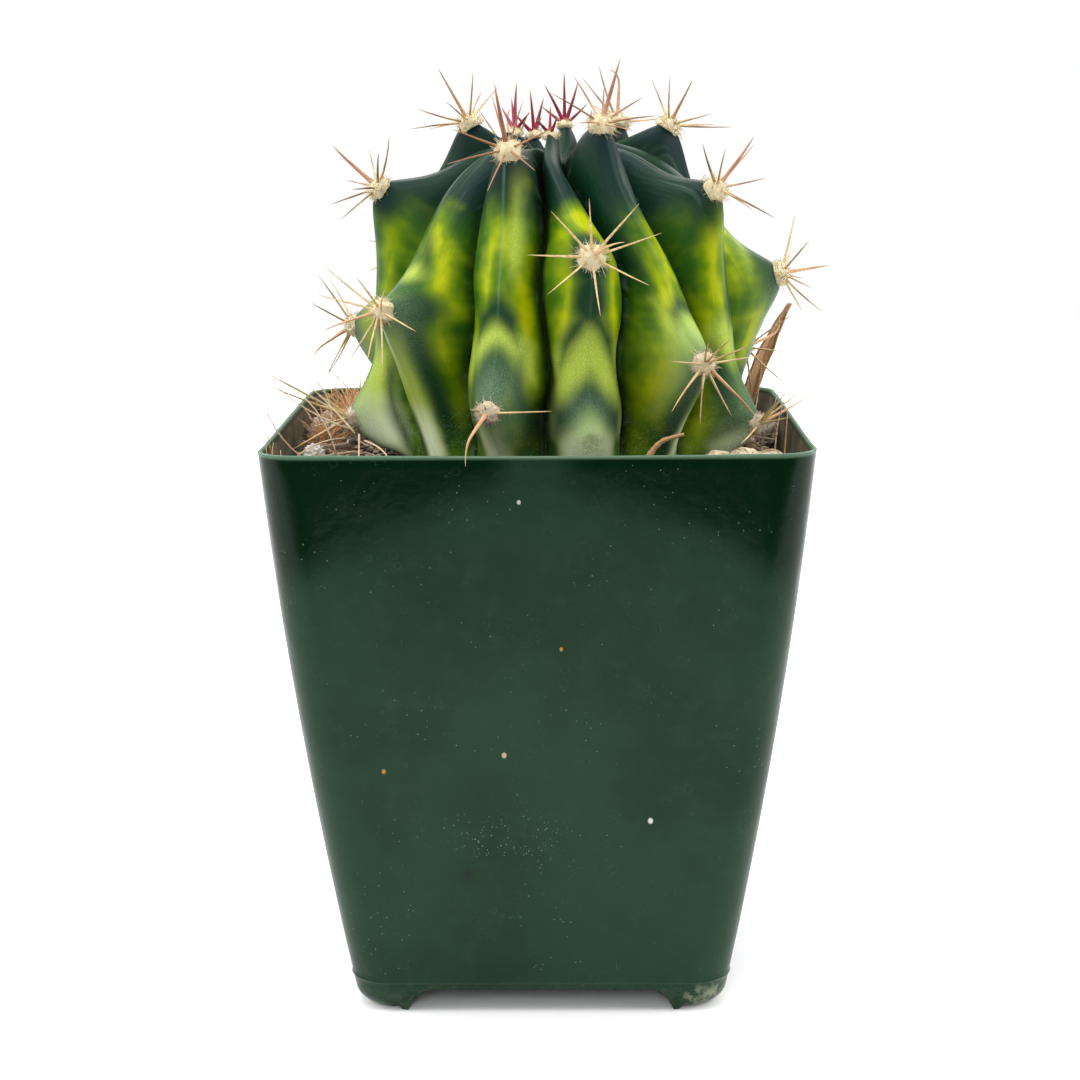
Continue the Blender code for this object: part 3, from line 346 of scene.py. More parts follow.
def grid_faces(rows, columns, wrap=False):
    """The quads between the points of a grid numbered row by row; wrap closes each row on itself."""
    row, column = np.meshgrid(np.arange(rows - 1), np.arange(columns if wrap else columns - 1), indexing="ij")
    beside = (column + 1) % columns
    quads = np.stack([row * columns + column, row * columns + beside,
                      (row + 1) * columns + beside, (row + 1) * columns + column], axis=-1)
    return quads.reshape(-1, 4)


def closed_faces(rows, columns):
    """A tube's quads and, at each end, a fan round a point numbered after the grid's."""
    spoke = np.arange(columns)
    beside = (spoke + 1) % columns
    count = rows * columns
    start = np.stack([beside, spoke, np.full(columns, count)], axis=-1)
    end = np.stack([count - columns + spoke, count - columns + beside, np.full(columns, count + 1)], axis=-1)
    return [grid_faces(rows, columns, wrap=True), start, end]


def closed_skin(rings, start, end):
    """Rings of points joined one to the next and drawn in to one point at each end: points and faces."""
    return np.concatenate([rings.reshape(-1, 3), [start, end]]), closed_faces(*rings.shape[:2])


def repeated(faces, points, times):
    """The faces of many like shapes, each with that number of points, whose points follow one another."""
    jump = (np.arange(times) * points)[:, None, None]
    return [(some + jump).reshape(-1, some.shape[1]) for some in faces]


def heading(turn, lift):
    """Unit directions turned about Z from +X, then lifted towards +Z, both in radians."""
    level = np.cos(lift)
    return np.stack(np.broadcast_arrays(np.cos(turn) * level, np.sin(turn) * level, np.sin(lift)), axis=-1)


def turned(points, angle):
    """Points turned about Z by an angle in radians."""
    x, y, z = np.moveaxis(points, -1, 0)
    cosine, sine = np.cos(angle), np.sin(angle)
    return np.stack([x * cosine - y * sine, x * sine + y * cosine, z], axis=-1)


def strands(roots, ways, lengths, bends, shares):
    """Each root plus its length times (share times its way, plus share squared times its bend)."""
    shares = shares[None, :, None]
    return roots[:, None] + lengths[:, None, None] * (shares * ways[:, None] + shares ** 2 * bends[:, None])


class Form:
    """Gathers surfaces into one mesh: their points, their faces and one number for each point and field."""

    def __init__(self):
        self.points = []
        self.faces = []
        self.finishes = []
        self.fields = []
        self.count = 0

    def add(self, points, faces, finish=0, **fields):
        """Takes (n, 3) points and (m, 3 or 4) faces; a field is one number or n of them."""
        points = np.asarray(points, float).reshape(-1, 3)
        for some in faces:
            self.faces.append(np.asarray(some) + self.count)
            self.finishes.append(np.full(len(some), finish))
        self.points.append(points)
        self.fields.append({name: np.broadcast_to(np.asarray(value, float).ravel(), len(points))
                            for name, value in fields.items()})
        self.count += len(points)

    def build(self, name, finishes, replaces=(), sharp=None):
        """One mesh object that rides on the pot's body, its faces turned outwards."""
        mesh = bpy.data.meshes.new(name)
        corners = np.concatenate([some.ravel() for some in self.faces])
        sizes = np.concatenate([np.full(len(some), some.shape[1]) for some in self.faces])
        mesh.vertices.add(self.count)
        mesh.vertices.foreach_set("co", np.concatenate(self.points).astype(np.float32).ravel())
        mesh.loops.add(len(corners))
        mesh.loops.foreach_set("vertex_index", corners.astype(np.int32))
        mesh.polygons.add(len(sizes))
        mesh.polygons.foreach_set("loop_start", (np.cumsum(sizes) - sizes).astype(np.int32))
        mesh.polygons.foreach_set("material_index", np.concatenate(self.finishes).astype(np.int32))
        for field in sorted(set().union(*self.fields)):
            values = [fields.get(field, np.zeros(len(points)))
                      for fields, points in zip(self.fields, self.points)]
            data = mesh.attributes.new(field, "FLOAT", "POINT").data
            data.foreach_set("value", np.concatenate(values).astype(np.float32))
        mesh.update(calc_edges=True)
        merged = bmesh.new()
        merged.from_mesh(mesh)
        bmesh.ops.remove_doubles(merged, verts=merged.verts, dist=MERGE_DISTANCE)
        bmesh.ops.recalc_face_normals(merged, faces=merged.faces)
        merged.to_mesh(mesh)
        merged.free()
        mesh.shade_smooth()
        if sharp:
            mesh.set_sharp_from_angle(angle=math.radians(sharp))
        for finish in finishes:
            mesh.materials.append(finish)
        made = bpy.data.objects.new(name, mesh)
        bpy.context.scene.collection.objects.link(made)
        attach(made, "root")
        if replaces:
            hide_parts(*replaces)
        return made


def tubes(paths, radii, sides, across):
    """Closed tubes along many paths at once: a ring square to the path at each step, a point at both ends.

    paths is (tubes, steps, 3). radii has one radius for each step, and across is a direction that no path
    takes; either may differ from tube to tube. Returns the points, the faces and each point's share of its
    tube's length.
    """
    count, steps, _ = paths.shape
    radii = np.broadcast_to(radii, (count, steps))
    across = np.broadcast_to(across, (count, 3))[:, None]
    ahead = np.gradient(paths, axis=1)
    ahead /= np.linalg.norm(ahead, axis=2, keepdims=True)
    side = across - ahead * np.sum(ahead * across, axis=2, keepdims=True)
    side /= np.linalg.norm(side, axis=2, keepdims=True)
    up = np.cross(ahead, side)
    turn = np.linspace(0, 2 * np.pi, sides, endpoint=False)[:, None]
    ring = side[:, :, None] * np.cos(turn) + up[:, :, None] * np.sin(turn)
    rings = paths[:, :, None] + ring * radii[:, :, None, None]
    points = np.concatenate([rings.reshape(count, -1, 3), paths[:, :1], paths[:, -1:]], axis=1)
    share = np.concatenate([np.repeat(np.linspace(0, 1, steps), sides), [0, 1]])
    faces = repeated(closed_faces(steps, sides), points.shape[1], count)
    return points.reshape(-1, 3), faces, np.tile(share, count)


def build_piece(name, shape, finish, slot, replaces=(), sharp=None, **fields):
    """One object from one surface, given as its points and faces."""
    form = Form()
    form.add(*shape, **fields)
    return form.build(name, [finish], replaces, sharp)


# Materials

class Value:
    """A shader socket that can be used in arithmetic: each operation adds its Math node."""

    def __init__(self, nodes, socket):
        self.nodes = nodes
        self.socket = socket

    def math(self, operation, *others):
        """The Math node of that operation on this value and the others."""
        return self.nodes.node("Math", {"operation": operation}, dict(enumerate((self,) + others)))

    def __add__(self, other):
        return self.math("ADD", other)

    __radd__ = __add__

    def __sub__(self, other):
        return self.math("SUBTRACT", other)

    def __rsub__(self, other):
        return self.nodes.node("Math", {"operation": "SUBTRACT"}, {0: other, 1: self})

    def __mul__(self, other):
        return self.math("MULTIPLY", other)

    __rmul__ = __mul__

    def __truediv__(self, other):
        return self.math("DIVIDE", other)

    def __pow__(self, other):
        return self.math("POWER", other)

    def size(self):
        """The value without its sign."""
        return self.math("ABSOLUTE")

    def step(self, low, high):
        """0 at low, 1 at high and a smooth ease between them, whichever of the two is greater."""
        settings = {"interpolation_type": "SMOOTHSTEP"}
        start, end = (0.0, 1.0) if low < high else (1.0, 0.0)
        low, high = sorted((low, high))
        return self.nodes.node("MapRange", settings, {0: self, 1: low, 2: high, 3: start, 4: end})


class Nodes:
    """A node tree: node() adds any node, and the other methods are the few that are used again and again."""

    def __init__(self, tree):
        self.tree = tree

    def node(self, kind, settings=None, sockets=None, output=0):
        """Adds a ShaderNode of that kind, sets its settings, then its sockets to values or links."""
        made = self.tree.nodes.new("ShaderNode" + kind)
        for setting, value in (settings or {}).items():
            setattr(made, setting, value)
        for socket, value in (sockets or {}).items():
            self.feed(made.inputs[socket], value)
        return Value(self, made.outputs[output])

    def feed(self, socket, value):
        """Links a socket to a value, or sets it to a constant."""
        if isinstance(value, Value):
            self.tree.links.new(value.socket, socket)
        else:
            socket.default_value = value

    def parts(self, vector):
        """A vector's X, Y and Z."""
        return [self.node("SeparateXYZ", {}, {0: vector}, axis) for axis in range(3)]

    def mix(self, first, second, share):
        """The first colour where share is 0 and the second where it is 1."""
        return self.node("Mix", {"data_type": "RGBA"}, {0: share, 6: first, 7: second}, 2)

    def coats(self, colour, *layers):
        """Lays tints over a colour one after another, each as (tint, share)."""
        for tint, share in layers:
            colour = self.mix(colour, rgb(*tint), share)
        return colour

    def ramp(self, share, *stops):
        """A colour for each place along share, from (place, tint) stops."""
        made = self.tree.nodes.new("ShaderNodeValToRGB")
        elements = made.color_ramp.elements
        while len(elements) < len(stops):
            elements.new(0.5)
        for element, (place, tint) in zip(elements, stops):
            element.position = place
            element.color = rgb(*tint)
        self.feed(made.inputs[0], share)
        return Value(self, made.outputs[0])


class Finish(Nodes):
    """A material, its place in millimetres, and the patterns and bumps that the finishes share."""

    def __init__(self, name, **constants):
        self.material = bpy.data.materials.new(name)
        self.material.use_nodes = True
        super().__init__(self.material.node_tree)
        self.shader = self.tree.nodes["Principled BSDF"]
        for socket, value in constants.items():
            self.shader.inputs[socket.replace("_", " ")].default_value = value
        place = self.node("TexCoord", output="Object")
        self.place = self.node("VectorMath", {"operation": "SCALE"}, {0: place, "Scale": 1 / MM})

    def field(self, name):
        """One of the mesh's own numbers."""
        return self.node("Attribute", {"attribute_name": name}, output="Fac")

    def stretch(self, vector, x, y, z=1.0):
        """A place in millimetres, scaled by its own factor along X, Y and Z."""
        return self.node("Mapping", {}, {"Vector": vector, "Scale": (x, y, z)})

    def noise(self, scale, detail=3.0, roughness=0.55, vector=None):
        """Noise with scale lumps to the millimetre."""
        sockets = {"Vector": vector or self.place, "Scale": scale, "Detail": detail, "Roughness": roughness}
        return self.node("TexNoise", {}, sockets, "Fac")

    def cells(self, scale):
        """The distance from the middle of the nearest of scattered cells, scale of them to the millimetre."""
        return self.node("TexVoronoi", {}, {"Vector": self.place, "Scale": scale}, "Distance")

    def bump(self, height, depth, before=None):
        """Tilts the surface as a relief of that depth in millimetres would."""
        sockets = {"Strength": 1.0, "Distance": depth * MM, "Height": height}
        if before:
            sockets["Normal"] = before
        return self.node("Bump", {}, sockets)

    def wear(self, colour, roughness, normal=None):
        """Feeds the finished colour, roughness and bumps to the shader and returns the material."""
        for socket, value in (("Base Color", colour), ("Roughness", roughness), ("Normal", normal)):
            if value is not None:
                self.feed(self.shader.inputs[socket], value)
        return self.material


def rgb(red, green, blue):
    """An opaque colour."""
    return (red, green, blue, 1.0)


# The stem

def meridian(angle):
    """The crest's radius and height at an angle up the barrel: an ellipse, its crown sunk by a bell."""
    turn = np.radians(angle)
    radius = CREST_RADIUS * np.cos(turn)
    hollow = CROWN_HOLLOW * np.exp(-(radius / CROWN_HOLLOW_RADIUS) ** 2)
    return radius, WAIST_HEIGHT + np.where(turn >= 0, CREST_RISE, CREST_FALL) * np.sin(turn) - hollow


def tubercles(rib):
    """The angles up the barrel of a rib's tubercles."""
    angles = [LOWER_TUBERCLES[rib % RIBS][1], UPPER_TUBERCLES[rib % RIBS][1]]
    if rib % RIBS in BURIED_TUBERCLES:
        angles.append(BURIED_TUBERCLES[rib % RIBS])
    return angles


def crest_azimuth(rib, angle):
    """A rib runs from its lower tubercle to its upper one in an S-shaped ease."""
    turns, rib = divmod(rib, RIBS)
    low_azimuth, low_angle = LOWER_TUBERCLES[rib]
    high_azimuth, high_angle = UPPER_TUBERCLES[rib]
    lean = (high_azimuth - low_azimuth + 180) % 360 - 180
    return low_azimuth + lean * smooth(low_angle, high_angle, angle) + 360 * turns


def nose_size(angle):
    """Tubercles shrink towards the crown, where they are young."""
    return 1.0 - YOUNG_NOSE_LOSS * float(smooth(*NOSES_SHRINK, angle))


def nose_profile(angle, centre):
    """How far along its length a tubercle stands out at a place up or down its rib."""
    radius = ((CREST_RISE if centre >= 0 else CREST_FALL) + CREST_RADIUS) / 2
    along = np.radians(angle - centre) * radius
    return np.abs(along) / (np.where(along > 0, NOSE_ABOVE, NOSE_BELOW) * nose_size(centre))


def areole_direction(rib, angle):
    """Outwards from the rib's crest, and up by most of the tubercle's angle up the barrel."""
    lean = math.radians(angle * NOSE_LEAN)
    turn = math.radians(crest_azimuth(rib, angle))
    return np.array((math.sin(turn) * math.cos(lean), -math.cos(turn) * math.cos(lean), math.sin(lean)))


def groove_azimuth(rib, angle):
    """The groove on a rib's right side lies half way to the next, pushed aside by the tubercles."""
    push = sum(np.exp(-nose_profile(angle, centre) ** 2) for centre in tubercles(rib))
    push = push - sum(np.exp(-nose_profile(angle, centre) ** 2) for centre in tubercles(rib + 1))
    middle = (crest_azimuth(rib, angle) + crest_azimuth(rib + 1, angle)) / 2
    return middle + GROOVE_SWAY * push * smooth(*SWAY_ENDS, angle)


def around_stem(azimuth, radius, height):
    """The place at an azimuth, a distance from the stem's axis and a height."""
    turn = np.radians(azimuth)
    parts = np.broadcast_arrays(STEM_X + radius * np.sin(turn), -radius * np.cos(turn), height)
    return np.stack(parts, axis=-1)


def nose_tip(rib, angle):
    """The tip of a tubercle: its length out from the crest along its own direction."""
    radius, height = meridian(angle)
    return around_stem(crest_azimuth(rib, angle), radius, height) + (
        areole_direction(rib, angle) * NOSE_LENGTH * nose_size(angle))


def rib_skin(rib, angle, across):
    """One rib between its two grooves, across from -1 to 1.

    The depth below the crest grows as |across| to a low power, steeper close to the groove, with a thin slit
    in the groove and a fine raised line on the crest. Each tubercle is the skin drawn out along its own axis
    by a bell of the distance from its centre, cut level where the wool sits. Returns the points and, in
    millimetres, the places across from the crest and along from the waist, and the distance to the groove.
    """
    crest = crest_azimuth(rib, angle)
    edge = np.where(across >= 0, groove_azimuth(rib, angle), groove_azimuth(rib - 1, angle))
    azimuth = crest + (edge - crest) * np.abs(across)
    radius, height = meridian(angle)
    side = np.abs(across)
    strength = smooth(LOWEST_ROW, RIBS_FADE_FROM, angle) * smooth(90, CROWN_FADES_FROM, angle)
    to_groove = np.abs(np.radians(edge - azimuth)) * radius
    fall = (1 - EDGE_SHARE) * side ** GROOVE_SHARPNESS + EDGE_SHARE * side ** EDGE_SHARPNESS
    depth = GROOVE_DEPTH * fall * strength
    depth = depth + SLIT_DEPTH * np.exp(-(to_groove / SLIT_WIDTH) ** 2) * strength
    across_mm = np.radians(azimuth - crest) * radius
    depth = depth - CREST_LINE_HEIGHT * np.exp(-(across_mm / CREST_LINE_WIDTH) ** 2) * strength
    turn = np.radians(angle)
    points = around_stem(azimuth, radius - depth * np.cos(turn), height - depth * np.sin(turn))
    for centre in tubercles(rib):
        size = nose_size(centre)
        sideways = across_mm / (NOSE_ACROSS * size)
        away = np.hypot(nose_profile(angle, centre), sideways)
        fade = (1 - smooth(0.75, 1.0, side)) * smooth(LOWEST_ROW, LOWEST_ROW + NOSE_FADE_ROWS, angle)
        reach = np.minimum(NOSE_LENGTH * size * np.exp(-away ** NOSE_POWER), NOSE_LENGTH * size - SEAT_DEPTH)
        points = points + areole_direction(rib, centre) * (reach * fade)[..., None]
    along_mm = turn * (np.where(turn >= 0, CREST_RISE, CREST_FALL) + CREST_RADIUS) / 2 / MM
    return points, across_mm / MM, along_mm, to_groove / MM


# Markings on the skin, in millimetres: t is measured along the rib from the waist, u across from its crest.
# An oval has its middle and its half sizes; a chevron its apex, the fall of its legs, its thickness and its
# half width; a band its upper and lower ends with their places across, and its half width.

def oval(u, t, along, across, half_along, half_across):
    """How far inside an oval: 1 less the scaled distance from its middle, times its lesser half size."""
    away = np.hypot((t - along) / half_along, (u - across) / half_across)
    return (1 - away) * min(half_along, half_across)


def chevron(u, t, apex, across, fall, thickness, half_width):
    """How far inside a stripe that falls away at both sides of its rounded apex."""
    beside = np.abs(u - across)
    fallen = fall * (np.hypot(beside, CHEVRON_ROUNDING) - CHEVRON_ROUNDING)
    off = np.abs(t - (apex - thickness / 2 - fallen)) / math.hypot(1, fall)
    return np.minimum(thickness / 2 / math.hypot(1, fall * 0.5) - off, half_width - beside)


def band(u, t, top, top_across, bottom, bottom_across, half_width):
    """How far inside a straight stripe along the rib, its ends tapered."""
    share = np.clip((t - bottom) / (top - bottom), 0, 1)
    middle = bottom_across + (top_across - bottom_across) * share
    return np.minimum(half_width - np.abs(u - middle), np.minimum(top - t, t - bottom) * BAND_TAPER)


SHAPES = {"oval": oval, "chevron": chevron, "band": band}
MARKS = {
    0: (("lime", "oval", 19.8, 1.6, 4.6, 3.2), ("lime", "band", 20, -2.6, -4, -4.6, 1.5),
        ("lime", "band", 22, 3.0, -6, 5.4, 1.7), ("lime", "band", -2, -5.6, -15, -6.4, 1.0),
        ("lime", "band", -2, 5.8, -15, 6.6, 1.0), ("dark", "oval", 12.4, 0, 5.4, 3.7),
        ("dark", "oval", 5.4, 0, 4.4, 3.1), ("dark", "chevron", 5.0, 0, 1.55, 3.2, 5.0),
        ("pale", "chevron", 2.8, 0, 1.45, 8.6, 6.4), ("dark", "chevron", -5.8, 0, 1.15, 3.8, 6.4),
        ("pale", "oval", -16.0, 0, 7.4, 4.4)),
    12: (("lime", "band", 20, -1.7, 1, -2.6, 1.4), ("lime", "band", 20, 0.4, 8, 0.4, 0.9),
         ("pale", "band", 25, 2.0, 12, 2.5, 0.5), ("lime", "band", 14, 3.4, -10, 6.0, 1.9),
         ("lime", "band", 4, -4.4, -12, -5.6, 1.2), ("dark", "oval", 28.0, -1.0, 3.6, 2.0),
         ("dark", "chevron", 6.6, -0.4, 1.25, 3.4, 3.8), ("pale", "chevron", 2.8, 0, 1.0, 3.6, 6.0),
         ("dark", "oval", -5.2, 0, 4.2, 3.3), ("dark", "band", -3, 3.2, -17, 6.0, 1.2),
         ("dark", "band", -4, -3.2, -15, -5.0, 1.0), ("lime", "oval", -8.0, 0, 0.9, 1.6),
         ("pale", "band", -12, -1.2, -24, -0.6, 2.0)),
    11: (("lime", "band", 22, 1.8, 12, 3.0, 1.5), ("lime", "band", 17, 3.4, 4, 7.2, 1.9),
         ("lime", "band", 5, 6.6, -15, 6.9, 1.0), ("dark", "band", 15.5, 1.2, 11.0, 2.6, 0.8),
         ("pale", "oval", 10.4, 0.8, 1.3, 2.0), ("dark", "oval", 4.2, 4.0, 3.0, 3.0),
         ("dark", "band", 3, 3.4, -18, 5.0, 1.3), ("pale", "band", 0, 0.6, -24, 0.0, 2.2),
         ("lime", "band", 2, -4.0, -12, -3.6, 1.4), ("dark", "oval", -17.0, -3.6, 4.0, 1.6)),
    10: (("lime", "oval", 11.5, 4.6, 6.0, 1.2), ("dark", "oval", 20.6, 2.4, 2.6, 1.8),
         ("lime", "band", 30, 6.4, 10, 7.8, 0.2), ("dark", "band", 3, 3.0, -3, 4.6, 1.6),
         ("pale", "oval", -12.0, 4.4, 10.5, 3.8), ("dark", "band", -6, 7.4, -22, 7.6, 1.0)),
    1: (("dark", "band", 38, -3.4, 10, -4.4, 1.6), ("lime", "band", 20, 3.0, 8, 1.4, 1.5),
        ("lime", "band", 12, 0.6, -2, -3.2, 2.3), ("lime", "band", 1, -4.2, -14, -5.2, 2.2),
        ("dark", "chevron", 6.2, 1.6, 0.9, 1.8, 3.4), ("pale", "oval", 1.2, 1.4, 2.8, 2.8),
        ("pale", "band", 4, -1.6, -9, -3.0, 1.2), ("dark", "band", -4, -0.8, -21, -0.6, 1.5),
        ("lime", "band", 4, 4.6, -16, 4.8, 1.2), ("pale", "band", -8, 2.2, -24, 2.4, 1.0)),
    2: (("dark", "band", 32, -3.0, 16, -3.0, 1.6), ("lime", "band", 19, -1.4, 3, -3.0, 2.0),
        ("pale", "band", 17, 0.4, 8, 0.9, 0.5), ("dark", "band", 13, 2.0, 1, 1.0, 1.1),
        ("lime", "band", 5, -4.4, -5, -5.0, 1.2), ("pale", "oval", -1.6, -1.6, 3.6, 2.8),
        ("dark", "oval", -8.0, -4.0, 5.0, 1.7), ("lime", "band", -3, -6.4, -18, -6.6, 0.8),
        ("dark", "chevron", -9.0, 0.4, 1.1, 3.4, 5.0), ("pale", "oval", -17.0, -1.2, 5.0, 2.4)),
    3: (("lime", "oval", 19.0, -2.6, 3.6, 2.6), ("lime", "band", 18, -5.0, 8, -5.6, 1.2),
        ("pale", "chevron", 15.6, 0, 1.2, 1.3, 4.0), ("dark", "oval", 7.2, 0, 5.4, 3.8),
        ("lime", "band", 4, -3.4, -9, -3.6, 1.7), ("lime", "band", 12, -6.6, -6, -6.6, 0.5),
        ("dark", "chevron", -6.0, 0, 1.1, 3.4, 6.0), ("pale", "oval", -17, 0, 5.0, 4.0)),
}


def plain_marks(rib):
    """The usual markings: lime round a lower tubercle, its heart dark, a pale and a dark chevron below it."""
    tip = math.radians(LOWER_TUBERCLES[rib][1]) * MEAN_RADIUS
    return (("lime", "oval", tip + 3.0, 0.4, 11.0, 5.4), ("lime", "band", tip + 4, -4.6, tip - 14, -6.0, 1.9),
            ("lime", "band", tip + 4, 4.8, tip - 12, 6.4, 1.9), ("dark", "oval", tip - 0.6, 0, 6.6, 3.5),
            ("pale", "chevron", tip - 7.0, 0, 1.1, 5.5, 7.0),
            ("dark", "chevron", tip - 12.5, 0, 1.2, 4.0, 7.0), ("pale", "oval", tip - 22.0, 0, 6.0, 4.6))


def mark_fields(rib, across_mm, along_mm):
    """How far inside each colour's nearest mark a place lies, or below 0 how far outside."""
    found = {name: np.full(across_mm.shape, FAR_OUTSIDE) for name in ("lime", "pale", "dark")}
    for colour, shape, *sizes in MARKS.get(rib) or plain_marks(rib):
        found[colour] = np.maximum(found[colour], SHAPES[shape](across_mm, along_mm, *sizes))
    return found


def make_stem(skin):
    """Every rib's skin side by side, drawn in to one point at the crown and, along the root, to its tip.

    The wax field is a bell round each low tubercle, and below 0 round each high one, whose collar is dark.
    """
    angles = np.linspace(HIGHEST_ROW, LOWEST_ROW, ROWS)[:, None]
    across = np.linspace(-1, 1, COLUMNS_PER_RIB, endpoint=False)[None, :]
    strips = []
    fields = []
    for rib in range(RIBS):
        points, across_mm, along_mm, to_groove = rib_skin(rib, angles, across)
        along_mm = np.broadcast_to(along_mm, across_mm.shape)
        wax = 0.0
        for centre in tubercles(rib):
            near = np.hypot(nose_profile(angles, centre) * WAX_STRETCH, across_mm / WAX_HALF_WIDTH)
            wax = wax + np.exp(-near ** 2) * (1 if centre < WAX_BELOW else -1)
        strips.append(points)
        fields.append({"across": across_mm, "along": along_mm, "groove": to_groove, "wax": wax,
                       "rib": np.full(across_mm.shape, rib), **mark_fields(rib, across_mm, along_mm)})
    skin_rows = np.concatenate(strips, axis=1)
    azimuths = np.degrees(np.arctan2(skin_rows[-1, :, 0] - STEM_X, -skin_rows[-1, :, 1]))
    root = [around_stem(azimuths, radius * MM, height * MM) for radius, height in ROOT_PROFILE]
    spread = {}
    for name in fields[0]:
        values = np.concatenate([strip[name] for strip in fields], axis=1)
        spread[name] = np.concatenate([values.ravel(), np.tile(values[-1], len(root)), [0, 0]])
    crown = (STEM_X, 0, float(meridian(90)[1]))
    tip = (STEM_X, 0, (ROOT_PROFILE[-1][1] - ROOT_TIP_DROP) * MM)
    shape = closed_skin(np.concatenate([skin_rows, np.stack(root)]), crown, tip)
    build_piece("stem", shape, skin, "cactus_skin", ["cactus_stem"], **spread)


def skin_finish():
    """Waxy skin: soft, streaky fields of green, lime, pale and dark green, then wax, bloom partly painted as
    highlight streaks, dust and scars, with painted shade in the grooves and painted light low on the stem.

    Each marking's share is its distance inside the mark, moved by noise, through a smooth step.
    """
    skin = Finish("cactus_skin", Specular_IOR_Level=0.09)
    across, along, rib = skin.field("across"), skin.field("along"), skin.field("rib")
    groove, wax = skin.field("groove"), skin.field("wax")
    flow = skin.node("CombineXYZ", {}, {0: across, 1: along, 2: rib * 7.3})
    streaks = skin.noise(1.0, 4.0, 0.6, skin.stretch(flow, 1.5, 0.16))
    cloud = skin.noise(0.22, 2.0, 0.5, flow)
    fine = skin.noise(5.5, 2.0, 0.6)
    warp = (cloud - 0.5) * 1.8 + (streaks - 0.5) * 0.4

    colour = skin.mix(rgb(0.022, 0.080, 0.004), rgb(0.085, 0.155, 0.005), cloud.step(0.35, 0.65))
    top = (along + warp * 1.5).step(17, 26)
    slate = skin.noise(0.10, 2.0, 0.5, skin.stretch(flow, 1.0, 0.5)).step(0.42, 0.60)
    colour = skin.mix(colour, skin.mix(rgb(0.0045, 0.026, 0.011), rgb(0.008, 0.027, 0.022), slate), top)
    lime = skin.field("lime") + warp
    bright = skin.ramp(streaks * 0.18 + cloud * 0.95, (0.35, (0.095, 0.205, 0.0)), (0.62, (0.20, 0.29, 0.0)),
                       (0.88, (0.33, 0.42, 0.003)))
    colour = skin.mix(colour, bright, lime.step(-1.6, 1.5))
    colour = skin.coats(colour, ((0.48, 0.49, 0.002), lime.step(0.4, 2.0) * 0.6))
    pale = (skin.field("pale") + warp * 0.8).step(-1.7, 1.6)
    speckled = skin.mix(rgb(0.30, 0.42, 0.040), rgb(0.50, 0.60, 0.110), fine.step(0.35, 0.75))
    colour = skin.mix(colour, speckled, pale)
    low = (along + warp).step(-9, -17)
    dark = (skin.field("dark") + warp * 0.7).step(-1.4, 1.6)
    # The first coat is painted light: the pale marks low on the stem are lightened towards white where the
    # front light falls
    colour = skin.coats(colour, ((0.780, 0.880, 0.600), low * pale * 0.9),
                        ((0.004, 0.031, 0.013), dark * 0.97))

    waxed = wax.step(0, 1) * (along.step(11, 2) * 0.75 + 0.12) * fine.step(0.2, 0.7)
    collar = wax.step(-0.35, -0.95) * along.step(14, 20)
    # Pale streaks along the dark top: partly bloom, partly painted highlight streaks
    bloom_and_highlight = skin.noise(1.0, 3.0, 0.6, skin.stretch(flow, 0.9, 0.05)).step(0.60, 0.72) * top
    front_rib = (rib - LINED_RIB).size().step(0.4, 0.1) * along.step(3, 9) * streaks
    line = across.size().step(0.42, 0.08) * (front_rib * 0.42 + 0.07)
    # Painted shade: the grooves between the ribs are darkened
    painted_groove_shade = groove.step(1.5, 0.0)
    lip = groove.step(0.9, 0.55) * groove.step(0.25, 0.5) * streaks.step(0.45, 0.7)
    flecks = skin.cells(1.4).step(0.10, 0.04) * skin.noise(0.35).step(0.5, 0.6)
    dust = skin.noise(0.6, 5.0, 0.7).step(0.60, 0.74) * along.step(2, -16)
    scratch = skin.noise(0.55, 2.0, 0.5, skin.stretch(skin.place, 1.0, 1.0, 2.2))
    scratch = ((scratch - 0.5).size() * 40).step(0.75, 0.2) * along.step(-11, -16) * fine.step(0.45, 0.62)
    colour = skin.coats(colour, ((0.150, 0.235, 0.135), waxed), ((0.003, 0.014, 0.015), collar * 0.75),
                        ((0.075, 0.125, 0.090), bloom_and_highlight * 0.5), ((0.150, 0.280, 0.190), line),
                        ((0.002, 0.014, 0.001), painted_groove_shade * 0.85), ((0.20, 0.36, 0.22), lip * 0.35),
                        ((0.42, 0.52, 0.24), flecks * 0.30), ((0.36, 0.40, 0.30), dust * 0.32),
                        ((0.42, 0.48, 0.34), scratch * 0.5))
    relief = skin.bump(streaks * 0.7 + skin.noise(7.0, 2.0, 0.5) * 0.3, 0.16)
    roughness = 0.29 + fine * 0.12 + waxed * 0.12 + painted_groove_shade * 0.25 + dust * 0.2
    return skin.wear(colour, roughness, relief)


# The areole clusters

def seat_frame(origin, normal):
    """A cluster's seat: its origin and its directions to the right, up and outwards."""
    upright = np.array((0, 0, 1.0)) - normal * normal[2]
    upright /= np.linalg.norm(upright)
    return origin, np.cross(upright, normal), upright, normal


def spine_path(seat, tilt, clock, length, curl, hook, steps):
    """Places along a spine: its bend grows evenly by curl degrees, and by hook degrees past HOOK_FROM."""
    shares = (np.arange(BEND_STEPS) + 0.5) / BEND_STEPS
    swing = np.radians(curl * shares + hook * np.maximum(0, shares - HOOK_FROM) / (1 - HOOK_FROM))
    run = np.concatenate([[[0, 0]], np.cumsum(np.stack([np.sin(swing), np.cos(swing)], axis=-1), axis=0)])
    run *= length / BEND_STEPS
    at = np.linspace(0, BEND_STEPS, steps)
    beside, ahead = (np.interp(at, np.arange(BEND_STEPS + 1), part)[:, None] for part in run.T)
    origin, right, upright, normal = seat
    lean, turn = math.radians(tilt), math.radians(clock)
    outward = right * math.sin(turn) + upright * math.cos(turn)
    return (origin + ahead * (outward * math.sin(lean) + normal * math.cos(lean))
            + beside * (outward * math.cos(lean) - normal * math.sin(lean)))


